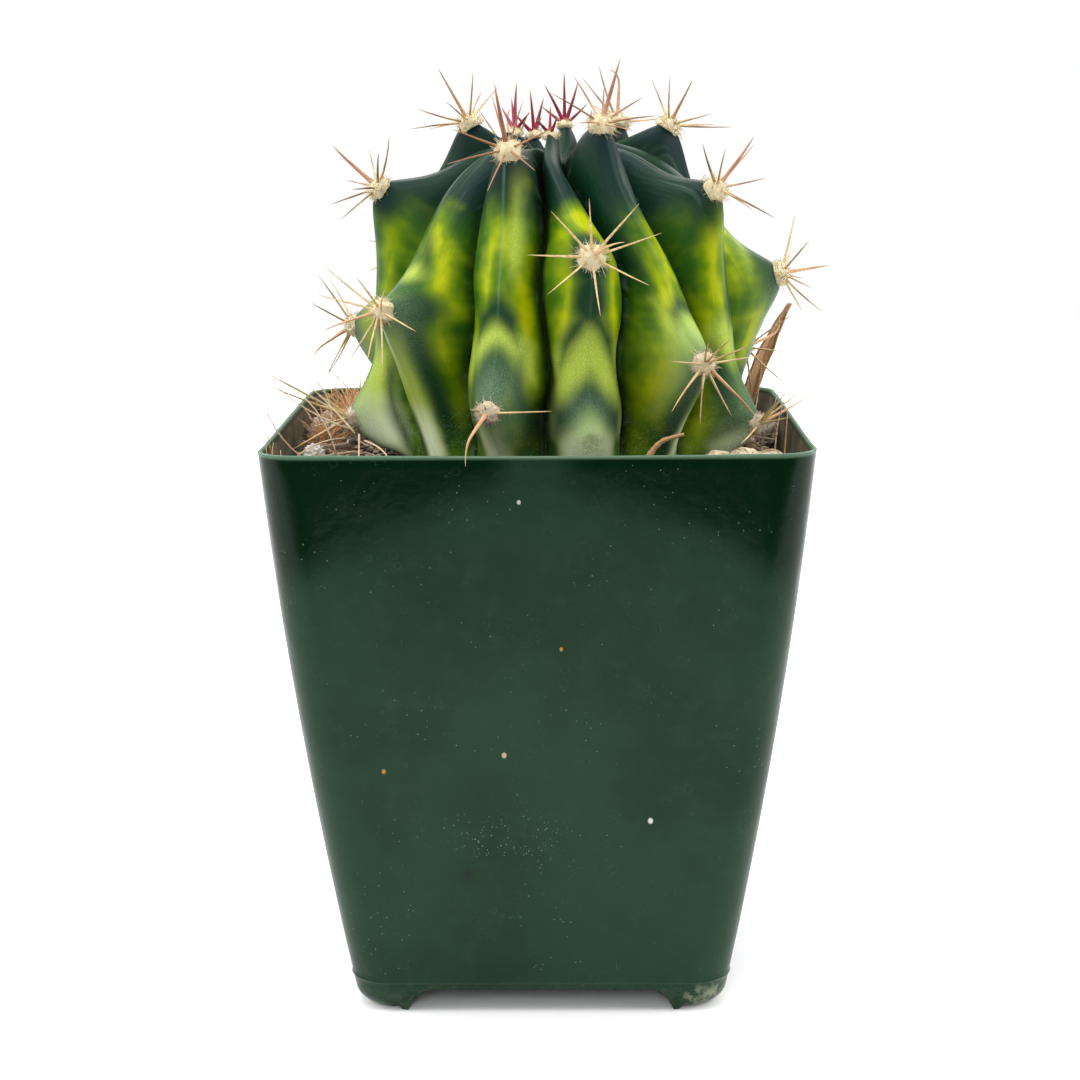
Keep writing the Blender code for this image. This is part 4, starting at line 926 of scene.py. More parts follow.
def clear_of_pot(seat, tilt, clock, length, curl, hook):
    """Whether a spine stays above the litter on the soil and inside the rim, or passes over it."""
    places = spine_path(seat, tilt, clock, length, curl, hook, 6)[2:]
    near_wall = np.abs(places[:, :2]).max(axis=1) > RIM_WIDTH / 2 - WALL_MARGIN
    least = np.where(near_wall, POT_HEIGHT + RIM_CLEARANCE, SOIL_TOP + LITTER_HEIGHT)
    return bool((places[:, 2] >= least).all())


def raised(seat, tilt, clock, length, curl, hook):
    """A spine's tilt, made less until it passes clear of the pot and the soil."""
    while tilt > LEAST_TILT and not clear_of_pot(seat, tilt, clock, length, curl, hook):
        tilt -= TILT_STEP
    return tilt


def even_radials(angle, chance):
    """A ring of radials a little out of true: length in millimetres, tilt and clock of each."""
    start = chance.uniform(-8, 8)
    listed = []
    for turn in range(RADIAL_COUNT):
        clock = start + 360 / RADIAL_COUNT * turn + chance.uniform(-7, 7)
        tilt = RADIAL_TILT + chance.uniform(-9, 7) - (HIGH_TILT_LOSS if angle > HIGH_FROM else 0)
        listed.append((RADIAL_LENGTH * chance.uniform(0.86, 1.04), tilt, clock))
    return listed


def cluster_spines(rib, tier, angle, root, chance):
    """Each spine's path and whether it is the stout central, as in the model."""
    spines = []
    for length, tilt, clock in RADIALS.get((rib, tier)) or even_radials(angle, chance):
        curl = chance.uniform(-16, 12)
        tilt = raised(root, tilt, clock, length * MM, curl, 0)
        if clear_of_pot(root, tilt, clock, length * MM, curl, 0):
            spines.append((spine_path(root, tilt, clock, length * MM, curl, 0, SPINE_STEPS), 0.0))
    if angle < YOUNG_FROM:
        length, tilt, clock, hook = CENTRALS.get((rib, tier), PLAIN_CENTRAL)
        tilt = raised(root, tilt, clock, length * MM, CENTRAL_CURL, hook)
        spines.append((spine_path(root, tilt, clock, length * MM, CENTRAL_CURL, hook, SPINE_STEPS), 1.0))
    return spines


def wool_dome(seat, size, draw):
    """A cushion of wool: a low dome, swollen and dimpled at random, closed underneath by a shallow cone."""
    turns = np.linspace(0, 2 * np.pi, PAD_COLUMNS, endpoint=False)[None, :]
    rises = np.linspace(0.5 * np.pi, -0.42, PAD_ROWS + 1)[1:, None]
    bumps = 1 + 0.07 * np.sin(turns * 5 + draw.uniform(0, 6)) * np.cos(rises)
    bumps = bumps + draw.normal(0, 0.025, (PAD_ROWS, PAD_COLUMNS))
    origin, normal = seat[0], seat[3]
    rings = origin + heading(turns, rises) * bumps[..., None] * PAD_SIZE * size @ np.array(seat[1:])
    return closed_skin(rings, origin + normal * PAD_SIZE[2] * size * 1.02, origin - normal * 0.8 * MM * size)


def wool_hairs(seat, size, count, draw):
    """Short curled hairs standing out of the wool: their paths, their radii and a direction across each."""
    axes = np.array(seat[1:])
    out = heading(draw.uniform(0, 2 * np.pi, count), np.arcsin(draw.uniform(-0.25, 1, count)))
    way = out @ axes
    wander = draw.normal(0, 0.70, (count, 3))
    swirl = draw.normal(0, 0.5, (count, 3))
    lengths = draw.uniform(*WOOL_HAIR_LENGTH, count) * size
    path = strands(seat[0] + out * PAD_SIZE * size * 0.94 @ axes, way + wander * 0.7, lengths, swirl,
                   np.linspace(0, 1, WOOL_HAIR_STEPS))
    return path, np.linspace(*WOOL_HAIR_RADII, WOOL_HAIR_STEPS), np.cross(way, wander + 0.01)


def make_cluster(rib, tier, angle, chance, finishes):
    """One areole: spines thick at the root and tapering to a point, in a dome of wool with loose hairs."""
    young = angle >= YOUNG_FROM
    size = YOUNG_SIZE if young else 1.0
    normal = areole_direction(rib, angle)
    seat = seat_frame(nose_tip(rib, angle) - normal * (SEAT_DEPTH - GAP), normal)
    root = (seat[0] + normal * 0.5 * MM * size,) + seat[1:]
    spines = cluster_spines(rib, tier, angle, root, chance)
    draw = np.random.default_rng(SEED * 100 + rib * 2 + (tier == "upper"))
    form = Form()
    redness = SPINE_REDNESS.get((rib, tier), PLAIN_REDNESS)
    share = np.linspace(0, 1, SPINE_STEPS)
    profile = (1 - share) ** 0.8 * 0.86 + 0.14 * (1 - share ** 6)
    swell = 1 + 0.35 * np.exp(-(share / 0.12) ** 2)
    for path, central in spines:
        stout = CENTRAL_RADIUS * (0.8 + 0.7 * redness) if central else RADIAL_RADIUS
        half = stout * (YOUNG_STOUTNESS if young else 1) * draw.uniform(0.9, 1.15)
        points, faces, along = tubes(path[None], half * profile * swell + SPINE_TIP_RADIUS, SPINE_SIDES,
                                     seat[2] + seat[1] * 0.3)
        form.add(points, faces, 0, share=along, tone=draw.uniform(0, 1), stout=central, red=redness)
    age = float(smooth(10, -22, angle)) if tier == "lower" else 0.0
    pad = size * (1 - 0.18 * age)
    form.add(*wool_dome(seat, pad, draw), 1, tone=0.5, age=age)
    path, radii, beside = wool_hairs(seat, pad, int(WOOL_HAIRS * size), draw)
    points, faces, along = tubes(path, radii, WOOL_HAIR_SIDES, beside)
    tones = np.repeat(draw.uniform(0, 1, len(path)), len(points) // len(path))
    form.add(points, faces, 1, share=along, tone=tones, age=age)
    name = "%s_%02d" % (tier, rib)
    form.build("cluster_" + name, [finishes["young" if young else "spines"], finishes["wool"]],
               replaces=["areole_" + name])


def spine_finish(young):
    """Old spines are straw with red-brown roots and bands; young ones crimson, paling to the tip."""
    spine = Finish("young_spines" if young else "spines", Specular_IOR_Level=0.5)
    share, tone, red, stout = (spine.field(name) for name in ("share", "tone", "red", "stout"))
    grain = spine.noise(2.2, 3.0, 0.6)
    if young:
        colour = spine.ramp(share + (grain - 0.5) * 0.2,
                            (0.0, (0.36, 0.008, 0.045)), (0.45, (0.19, 0.004, 0.022)),
                            (0.75, (0.24, 0.04, 0.025)), (1.0, (0.40, 0.19, 0.10)))
        return spine.wear(colour, 0.36, spine.bump(grain, 0.06))
    straw = spine.mix(rgb(0.48, 0.32, 0.12), rgb(0.72, 0.55, 0.29), grain.step(0.3, 0.7))
    brown = spine.mix(rgb(0.28, 0.105, 0.038), rgb(0.13, 0.028, 0.015), tone)
    bands = (share * SPINE_BANDS + tone * 9).math("SINE") * 0.10
    amount = red * 0.75 + tone * 0.28 + bands + (grain - 0.5) * 0.7 + share.step(0.1, 0.8) * red * 0.45 - 0.08
    colour = spine.mix(straw, brown, amount.step(0.28, 0.85) * 0.92)
    deep = spine.mix(rgb(0.62, 0.33, 0.18), rgb(0.17, 0.026, 0.015), red.step(0.3, 0.8))
    colour = spine.mix(colour, deep, stout * share.step(1.0, 0.45) * 0.65)
    colour = spine.coats(colour, ((0.44, 0.31, 0.16), share.step(0.75, 1.0) * 0.5))
    return spine.wear(colour, 0.42 + grain * 0.15, spine.bump(grain, 0.08))


def wool_finish():
    """Cream wool, its hairs of several tones, greyed and browned where it is old."""
    wool = Finish("areole_wool", Sheen_Weight=0.3, Sheen_Roughness=0.5)
    fleck = wool.noise(2.6, 4.0, 0.65).step(0.3, 0.7)
    colour = wool.mix(rgb(0.80, 0.61, 0.30), rgb(1.0, 0.92, 0.64), wool.field("tone") * 0.5 + fleck * 0.5)
    colour = wool.coats(colour, ((0.60, 0.47, 0.38), wool.field("age") * 0.55))
    return wool.wear(colour, 0.95, wool.bump(wool.noise(6.0, 3.0, 0.7), 0.3))


# The pot

def wall_half_width(height):
    """Half the outer width: a straight taper plus a parabola's bow, less a round tuck at the ground."""
    share = (height - SEAM_HEIGHT) / (POT_HEIGHT - SEAM_HEIGHT)
    half = BASE_WIDTH / 2 + (RIM_WIDTH - BASE_WIDTH) / 2 * share + WALL_BOW * share * (1 - share)
    tuck = FOOT_ROUND - np.sqrt(np.maximum(0, FOOT_ROUND ** 2 - np.maximum(0, FOOT_ROUND - height) ** 2))
    return half - tuck


def square_ring(half, inset=0.0):
    """Points against the clock round a square with round corners: a row of them for each half width.

    Each side's points are closer together near its corners and above the feet.
    """
    half = np.asarray(half, float).reshape(-1, 1) - inset
    radius = CORNER_RADIUS - inset
    near_foot = np.linspace(0.78, 0.93, 8)
    plain = np.sort(np.concatenate([np.linspace(-1, 1, 41), near_foot, -near_foot[::-1]]))
    turn = np.linspace(-np.pi / 2, 0, 9)[1:-1]
    along = np.concatenate([np.broadcast_to(plain * (half - radius), (len(half), len(plain))),
                            half - radius + radius * np.cos(turn)], axis=1)
    out = np.concatenate([np.broadcast_to(half, (len(half), len(plain))),
                          half - radius - radius * np.sin(turn)], axis=1)
    sides = [(along, -out), (out, along), (-along, out), (-out, -along)]
    return np.concatenate([np.stack(np.broadcast_arrays(*side), axis=-1) for side in sides], axis=1)


def arch_height(across):
    """The arch's underside: level in the middle, a quarter of an ellipse down to the ground at each side."""
    beyond = np.clip((np.abs(across) - ARCH_HALF_TOP) / ARCH_RUN, 0, 1)
    return FLOOR_BOTTOM * np.sqrt(1 - beyond ** 2)


def vault(places):
    """The underside's height at places under the pot: the higher of the two arches that cross there."""
    return np.maximum(arch_height(places[..., 0]), arch_height(places[..., 1]))


def level_ring(height, inset, half=None):
    """One ring of the pot's square at a height, set in from the wall's half width or from another one."""
    ring = square_ring(wall_half_width(height) if half is None else half, inset)[0]
    return np.column_stack([ring, np.full(len(ring), height)])


def make_pot(plastic):
    """One closed shell, ring by ring: the underside from its middle to its edge, up the outside from the
    arched feet, over the rolled rim, and down the inside to the floor."""
    edge = square_ring(wall_half_width(0.0))[0]
    foot = vault(edge)
    levels = [foot + (SEAM_HEIGHT - 0.4 * MM - foot) * share for share in np.linspace(0, 1, FOOT_ROWS)]
    upper = np.linspace(SEAM_HEIGHT + 1.5 * MM, POT_HEIGHT - RIM_ROUND, WALL_ROWS)
    seam = SEAM_HEIGHT + np.array([-0.2, 0.0, 0.25, 0.6]) * MM
    levels = np.stack(levels + [np.full(len(edge), height) for height in (*seam, *upper)])
    half = wall_half_width(levels)
    middle = half.mean(axis=1)
    ridge = np.exp(-((levels - SEAM_HEIGHT) / SEAM_WIDTH) ** 2) * SEAM_RIDGE / wall_half_width(SEAM_HEIGHT)
    outer = square_ring(middle) * (half / middle[:, None] * (1 + ridge))[..., None]
    outer = np.concatenate([outer, levels[..., None]], axis=-1)
    turns = np.linspace(0.15, 0.85, 5) * np.pi
    lip = [level_ring(POT_HEIGHT - RIM_ROUND + RIM_ROUND * math.sin(turn), WALL / 2 * (1 - math.cos(turn)),
                      RIM_WIDTH / 2) for turn in turns]
    heights = (*np.linspace(POT_HEIGHT - RIM_ROUND, 88 * MM, 10), 60 * MM, 30 * MM, FLOOR_TOP)
    inner = [level_ring(height, WALL) for height in heights]
    under = [np.column_stack([outer[0, :, :2] * share, vault(outer[0, :, :2] * share)])
             for share in np.linspace(0, 1, 26)[1:-1]]
    rows = np.concatenate([np.stack(under), outer, np.stack(lip), np.stack(inner)])
    columns = rows.shape[1]
    rim_wave = RIM_WAVE * np.sin(np.arange(columns) * 2 * np.pi / columns * 5 + 1)
    rows[..., 2] += rim_wave * smooth(POT_HEIGHT - 6 * MM, POT_HEIGHT, rows[..., 2])
    outside = len(under) + len(outer) + 2
    inside = np.repeat(np.arange(len(rows)) >= outside, columns)
    shell = build_piece("pot_shell", closed_skin(rows, (0, 0, FLOOR_BOTTOM), (0, 0, FLOOR_TOP)), plastic,
                        "pot_plastic", ["pot"], POT_SHARP_ANGLE, inside=np.concatenate([inside, [0, 1]]))
    drill(shell)


def drill(shell):
    """Cuts the five drain holes through the floor and leaves the result as a plain mesh."""
    holes = bmesh.new()
    for x, y in ((0, 0), (DRAIN_RING, 0), (-DRAIN_RING, 0), (0, DRAIN_RING), (0, -DRAIN_RING)):
        place = Matrix.Translation((x, y, (FLOOR_BOTTOM + FLOOR_TOP) / 2))
        bmesh.ops.create_cone(holes, cap_ends=True, segments=32, radius1=DRAIN_RADIUS, radius2=DRAIN_RADIUS,
                              depth=4 * MM, matrix=place)
    mesh = bpy.data.meshes.new("drain_cutter")
    holes.to_mesh(mesh)
    holes.free()
    tool = bpy.data.objects.new("drain_cutter", mesh)
    bpy.context.scene.collection.objects.link(tool)
    cut = shell.modifiers.new("drain", "BOOLEAN")
    cut.object = tool
    cut.solver = "EXACT"
    bpy.context.view_layer.update()
    drilled = bpy.data.meshes.new_from_object(shell.evaluated_get(bpy.context.evaluated_depsgraph_get()))
    shell.modifiers.remove(cut)
    shell.data = drilled
    bpy.data.objects.remove(tool)
    drilled.shade_smooth()
    drilled.set_sharp_from_angle(angle=math.radians(POT_SHARP_ANGLE))


def plastic_finish():
    """Satin dark green plastic: a painted dark reflection below the rim, specks, scratches, rings and chalky
    feet.
    """
    plastic = Finish("pot_plastic", Specular_IOR_Level=0.12)
    across, deep, high = plastic.parts(plastic.place)
    broad = plastic.noise(0.035, 3.0, 0.5)
    mottle = plastic.noise(0.22, 4.0, 0.6)
    colour = plastic.mix(rgb(0.0065, 0.0250, 0.0110), rgb(0.0105, 0.0350, 0.0170), broad.step(0.35, 0.65))
    # Below the rim a dark reflection is painted, glossier too, down to a bowed edge and least in the middle
    bow = high - (100 - (across.size() * 0.032) ** 2 * 9)
    painted_dark_reflection = bow.step(-7.0, 2.5) * across.size().step(1.5, 9.0)
    dots = plastic.cells(0.75).step(0.11, 0.06) * plastic.noise(0.09, 2.0, 0.5).step(0.50, 0.62)
    fine = plastic.cells(2.6).step(0.13, 0.05) * plastic.noise(0.13, 3.0, 0.6).step(0.52, 0.66)
    front = deep.step(-20, -25)
    # A drift of dust on the front, left of its middle and a third of the way up
    drift = (((across + 5.0) / 11.0) ** 2 + ((high - 34.5) / 5.5) ** 2).step(1.3, 0.2)
    grains = plastic.cells(1.7).step(0.20, 0.07) * plastic.noise(0.45, 2.0).step(0.42, 0.58)
    # The near-black coat is the painted dark reflection below the rim
    colour = plastic.coats(colour, ((0.013, 0.038, 0.021), mottle.step(0.48, 0.72) * 0.5),
                           ((0.0004, 0.0090, 0.0025), painted_dark_reflection * 0.90), ((0.28, 0.34, 0.27), dots * 0.40),
                           ((0.22, 0.30, 0.22), fine * 0.5),
                           ((0.42, 0.46, 0.36), drift * grains * front * 0.8))
    for fleck_across, fleck_high, size, tint in POT_FLECKS:
        away = ((across - fleck_across) ** 2 + (high - fleck_high) ** 2 * 0.6).math("SQRT")
        colour = plastic.coats(colour, (tint, away.step(size * 1.3, size * 0.7) * front * 0.85))
    scratch = plastic.noise(1.0, 1.0, 0.3, plastic.stretch(plastic.place, 2.6, 2.6, 0.07)).step(0.79, 0.84)
    ring = (plastic.cells(0.30) - 0.24).size().step(0.035, 0.006) * plastic.noise(0.17).step(0.50, 0.60)
    chalk = high.step(7.0, 2.5) * plastic.noise(0.42, 4.0, 0.65).step(0.42, 0.62)
    chalk = chalk * (across.step(24, 28) + 0.12)
    colour = plastic.coats(colour, ((0.07, 0.12, 0.085), scratch * 0.30),
                           ((0.045, 0.085, 0.060), ring * 0.15), ((0.34, 0.36, 0.25), chalk * 0.45),
                           ((0.115, 0.200, 0.130), high.step(103.1, 103.8) * 0.75))
    inside = plastic.field("inside")
    stain = plastic.mix(rgb(0.075, 0.060, 0.042), rgb(0.210, 0.185, 0.140), mottle.step(0.35, 0.7))
    colour = plastic.mix(colour, stain, inside * high.step(103.4, 102.4) * 0.92)
    relief = plastic.bump(plastic.noise(0.55, 3.0, 0.5), 0.05, plastic.bump(broad, 0.6))
    roughness = 0.27 + mottle * 0.08 + dots * 0.3 + fine * 0.2 - painted_dark_reflection * 0.12 + inside * 0.3
    return plastic.wear(colour, roughness, relief)


# The soil and what lies on it

def stone_places():
    """Each loose piece's place and half its greater size, in millimetres."""
    found = [(x, y, max(length, width) / 2) for _, x, y, length, width, _ in STONES]
    found += [(x, y, length / 2) for _, x, y, length, _, _, _ in BARK_CHIPS]
    return found + [(x, y, core) for _, x, y, core, _ in TUFTS]


def soil_height(x, y):
    """Low waves of sines and a shallow bell-shaped dip round the stem, both level under each loose piece."""
    waves = np.sin(x * 310) * np.cos(y * 270) + 0.6 * np.sin(x * 700 + y * 520)
    from_stem = np.hypot(x - STEM_X, y)
    dip = np.exp(-((from_stem - MOAT_RADIUS) / MOAT_WIDTH) ** 2)
    for spot_x, spot_y, radius in stone_places():
        away = np.hypot(x - spot_x * MM, y - spot_y * MM) / MM
        cover = 1 - smooth(radius + SPOT_MARGIN, radius + 2 * SPOT_MARGIN, away)
        waves = waves * (1 - cover)
        dip = dip * (1 - cover)
    return SOIL_TOP + SOIL_RELIEF * waves * (1 - dip) * 0.5 - MOAT_DEPTH * dip


def make_soil(finish):
    """The filled inside of the pot: its top crumbly with fine sines and sunk under the root."""
    shares = np.linspace(0.015, 1, SOIL_ROWS)[:, None, None]
    top = square_ring(wall_half_width(SOIL_TOP), WALL + GAP) * shares
    x, y = top[..., 0], top[..., 1]
    crumbs = sum(np.sin(x * k * 1.7 + y * k + phase) * np.cos(y * k * 1.3 - x * k * 0.6 + phase * 2)
                 for k, phase in ((900, 0.3), (1500, 1.7), (2600, 4.1))) * CRUMB_RELIEF
    high = soil_height(x, y) + crumbs * np.minimum(1, (1 - shares[..., 0]) * 20)
    from_stem = np.hypot(x - STEM_X, y)
    radii, heights = zip(*reversed((ROOT_SHOULDER, *ROOT_PROFILE)))
    under = np.interp(from_stem / MM, (0, *radii), (ROOT_PROFILE[-1][1] - 3, *heights)) * MM - GAP
    high = np.where(from_stem < ROOT_HOLE_RADIUS, np.minimum(high, under), high)
    sides = [level_ring(height, WALL + GAP) for height in np.array([80, 50, 20, FLOOR_TOP / MM + 0.3]) * MM]
    rows = np.concatenate([np.concatenate([top, high[..., None]], axis=-1), np.stack(sides)])
    shape = closed_skin(rows, (0, 0, float(high[0].min())), (0, 0, FLOOR_TOP + GAP))
    build_piece("soil_bed", shape, finish, "soil", ["soil_mix"])


def lumps(draw, way, count, strength):
    """How far unit directions swell: 1 plus a sum of random waves, each finer wave lower than the last."""
    waves = draw.normal(0, 1, (count, 3))
    waves *= (np.linspace(2.0, 13.0, count) / np.linalg.norm(waves, axis=1))[:, None]
    phases = draw.uniform(0, 6.28, count)
    heights = strength / np.sqrt(np.linspace(1, 9, count))
    return 1 + np.sum(heights * (np.abs(np.sin(way @ waves.T + phases)) - 0.5), axis=-1)[:, None]


def ball(rows, columns):
    """Directions of a ball's points, ring by ring and then its poles, and its faces."""
    rise = np.linspace(np.pi / 2, -np.pi / 2, rows + 2)[1:-1, None]
    turn = np.linspace(0, 2 * np.pi, columns, endpoint=False)[None, :]
    return closed_skin(heading(turn, rise), (0, 0, 1), (0, 0, -1))


def boulder(draw, rows, columns, waves, strength, cut):
    """A lumpy ball of about unit radius, cut level below its middle and standing on the cut."""
    way, faces = ball(rows, columns)
    points = way * lumps(draw, way, waves, strength)
    points[:, 2] = np.maximum(points[:, 2], -cut) + cut
    return points, faces


def own_draw(name):
    """A random generator of a piece's own, seeded by its name."""
    return np.random.default_rng(SEED + sum(map(ord, name)))


def on_soil(x, y):
    """The place a gap above the soil at x and y in millimetres."""
    return np.array((x * MM, y * MM, SOIL_TOP + GAP))


def make_stone(name, x, y, length, width, height, finish, slot):
    """A lumpy ball, flat beneath, lying a gap above the soil where the model's stone lies."""
    points, faces = boulder(own_draw(name), 46, 72, 16, 0.22, STONE_CUT)
    size = np.array((length / 2, width / 2, height / (1 + STONE_CUT))) * MM
    build_piece("fine_" + name, (on_soil(x, y) + points * size, faces), finish, slot, [name])


def make_bark(name, x, y, length, width, height, turn, finish):
    """A split chip: a lump squared off by a low power, ridged along its grain and narrowed at its ends."""
    way, faces = ball(40, 64)
    box = np.sign(way) * np.abs(way) ** 0.55
    grain = 1 + 0.10 * np.sin(way[:, 1] * 16 + 3 * way[:, 2]) + 0.06 * np.sin(way[:, 1] * 37)
    points = box * lumps(own_draw(name), way, 12, 0.10) * np.stack([np.ones(len(way)), grain, grain], axis=-1)
    points[:, 1] *= 1 - 0.45 * np.abs(points[:, 0]) ** 2
    points[:, 2] = np.maximum(points[:, 2], -0.8) + 0.8
    points *= np.array((length * 0.52, width * 0.52, height * 0.5)) * MM
    points = on_soil(x, y) + turned(points, math.radians(turn))
    build_piece("fine_" + name, (points, faces), finish, "bark", [name])


def make_tuft(name, x, y, core, reach, finish):
    """A wad of fibre: a small lumpy heart and hundreds of thin bent fibres that wind out of it."""
    draw = own_draw(name)
    heart, faces = boulder(draw, 18, 28, 10, 0.25, 0.5)
    middle = on_soil(x, y)
    tuft = Form()
    tuft.add(middle + heart * np.array((0.9, 0.72, 0.62)) * core * MM, faces, tone=0.25)
    count = int(90 + core * 70)
    way = heading(draw.uniform(0, 2 * np.pi, count), draw.uniform(0.05, 1.25, count))
    start = middle + np.stack([draw.normal(0, 0.33, count), draw.normal(0, 0.28, count),
                               draw.uniform(0.15, 0.85, count)], axis=-1) * core * MM
    lengths = draw.uniform(0.35, 1.0, count) ** 1.3 * reach * MM
    bend = draw.normal(0, 0.6, (count, 3))
    path = strands(start, way, lengths, bend * 0.55, np.linspace(0, 1, FIBRE_STEPS))
    path[..., 2] = np.maximum(path[..., 2], SOIL_TOP + 0.5 * MM)
    half = RIM_WIDTH / 2 - WALL - 0.5 * MM
    low = path[..., 2] < POT_HEIGHT
    path[..., :2] = np.where(low[..., None], np.clip(path[..., :2], -half, half), path[..., :2])
    radii = draw.uniform(0.06, 0.15, (count, 1)) * np.linspace(1, 0.6, FIBRE_STEPS) * MM
    points, faces, along = tubes(path, radii, 4, np.cross(way, bend + 0.01))
    tuft.add(points, faces, share=along, tone=np.repeat(draw.uniform(0, 1, count), len(points) // count))
    tuft.build("fine_" + name, [finish], replaces=[name])


def make_grains(draw, spots, finishes):
    """Small rough balls strewn over the soil, flattened, turned and shared out among three finishes."""
    way, faces = ball(3, 6)
    sizes = draw.gamma(2.2, 0.26, len(spots))[:, None, None] * np.array((1, 0.8, 0.62)) * MM
    turns = draw.uniform(0, 2 * np.pi, len(spots))[:, None]
    rough = way[None] * draw.uniform(0.7, 1.25, (len(spots), len(way), 1)) * sizes
    base = np.column_stack([spots, soil_height(spots[:, 0], spots[:, 1]) + 0.25 * MM])
    points = turned(rough, turns) + base[:, None]
    kinds = draw.choice(3, len(spots), p=GRAIN_SHARES)
    grains = Form()
    for kind in range(3):
        mine = points[kinds == kind]
        grains.add(mine, repeated(faces, len(way), len(mine)), kind,
                   tone=np.repeat(draw.uniform(0, 1, len(mine)), len(way)))
    grains.build("soil_grains", [finishes["soil"], finishes["gravel"], finishes["bark"]])


def make_needles(draw, spots, finish):
    """Old needles lying in the litter, each a thin tapering tube, bent a little and kept inside the walls."""
    spots = spots[draw.choice(len(spots), NEEDLE_COUNT, replace=False)]
    way = heading(draw.uniform(0, np.pi, NEEDLE_COUNT), draw.uniform(-0.12, 0.30, NEEDLE_COUNT))
    lengths = draw.uniform(2.0, 8.5, NEEDLE_COUNT) * MM
    bend = draw.normal(0, 0.12, (NEEDLE_COUNT, 3))
    lift = draw.uniform(0.5, 2.4, NEEDLE_COUNT) * MM
    middle = np.column_stack([spots, soil_height(spots[:, 0], spots[:, 1]) + lift])
    path = strands(middle, way, lengths, bend, np.linspace(-0.5, 0.5, NEEDLE_STEPS))
    half = RIM_WIDTH / 2 - WALL - 1.5 * MM
    path[..., :2] = np.clip(path[..., :2], -half, half)
    radii = draw.uniform(0.08, 0.22, (NEEDLE_COUNT, 1)) * np.linspace(1, 0.45, NEEDLE_STEPS) * MM
    points, faces, along = tubes(path, radii, 5, np.cross(way, (0.1, 0.2, 1.0)))
    tones = np.repeat(draw.uniform(0, 1, NEEDLE_COUNT), len(points) // NEEDLE_COUNT)
    build_piece("old_needles", (points, faces), finish, "husk", share=along, tone=tones)


def make_litter(finishes):
    """Small grains and needles strewn over the soil, clear of the stem and of the walls."""
    draw = np.random.default_rng(SEED)
    half = RIM_WIDTH / 2 - WALL - WALL_MARGIN
    spots = draw.uniform(-half, half, (SPOTS_TRIED, 2))
    from_stem = np.hypot(spots[:, 0] - STEM_X, spots[:, 1])
    spots = spots[from_stem > LITTER_FROM_STEM][:GRAIN_COUNT]
    make_grains(draw, spots, finishes)
    make_needles(draw, spots, finishes["needle"])


def make_chips(finishes):
    """Bigger crumbs of bark and stone, lumpy balls half hidden in the soil where it shows."""
    draw = np.random.default_rng(SEED + 5)
    chips = Form()
    for x, y, size in CHIPS:
        points, faces = boulder(draw, 12, 18, 12, 0.30, 0.4)
        turn = draw.uniform(0, np.pi)
        points = points * np.array((size, size * draw.uniform(0.5, 0.8), size * draw.uniform(0.45, 0.7))) * MM
        ground = float(soil_height(np.float64(x * MM), np.float64(y * MM)))
        chips.add(turned(points, turn) + np.array((x * MM, y * MM, ground + 0.3 * MM)), faces,
                  int(draw.integers(3)), tone=draw.uniform(0.3, 1))
    chips.build("soil_chips", [finishes["bark"], finishes["gravel"], finishes["pumice"]])


def make_dead_spines(finish):
    """Old spines that stand in the litter and lean over the rim, thin tapering tubes bowed as parabolas."""
    draw = np.random.default_rng(SEED + 9)
    start, end = np.swapaxes(DEAD_SPINES, 0, 1)
    count = len(start)
    bow = draw.normal(0, 0.05, (count, 3)) * np.linalg.norm(end - start, axis=1, keepdims=True)
    share = np.linspace(0, 1, 10)
    # A bow of 4 share (1 - share) adds 4 bows to the way and takes 4 bows off the bend
    paths = strands(start, end - start + bow * 4, np.ones(count), bow * -4, share) * MM
    radii = DEAD_SPINE_RADIUS * (1 - 0.75 * share ** 1.5)
    points, faces, along = tubes(paths, radii, 6, (0.1, 1.0, 0.2))
    tones = np.repeat(draw.uniform(0.2, 1, count), len(points) // count)
    build_piece("dead_spines", (points, faces), finish, "husk", share=along, tone=tones)


def make_husk(finish):
    """A dry papery blade standing in the soil: a strip that widens and narrows, cupped across and leaning."""
    across = np.linspace(-1, 1, 15)[None, :]
    share = np.linspace(0, 1, 60)[:, None]
    above = np.maximum(0, share - 0.2) / 0.8
    half = 0.5 * MM + (HUSK_HALF_WIDTH - 0.5 * MM) * np.sin(np.pi * np.minimum(above * 1.06, 1)) ** 0.8
    half = half * (1 + 0.12 * np.sin(above * 23) * above)
    curl = (across ** 2 - 0.5) * half * 0.5 + 0.12 * MM * np.sin(across * 7 + above * 9)
    x = HUSK_BASE[0] + HUSK_LEAN[0] * above ** 1.6 + across * half * 0.75
    y = HUSK_BASE[1] + HUSK_LEAN[1] * above + across * half * 0.5 - curl
    z = SOIL_TOP - SET_IN_SOIL + (HUSK_HEIGHT + SET_IN_SOIL) * share
    sheet = np.stack(np.broadcast_arrays(x, y, z), axis=-1)
    normal = np.cross(np.gradient(sheet, axis=1), np.gradient(sheet, axis=0))
    wall = normal / np.linalg.norm(normal, axis=-1, keepdims=True) * HUSK_WALL
    rings = np.concatenate([sheet + wall, (sheet - wall)[:, ::-1]], axis=1)
    shares = np.concatenate([np.repeat(share[:, 0], rings.shape[1]), [0, 1]])
    shape = closed_skin(rings, sheet[0].mean(axis=0), sheet[-1].mean(axis=0))
    build_piece("fine_husk", shape, finish, "husk", ["husk"], share=shares, tone=0.6)


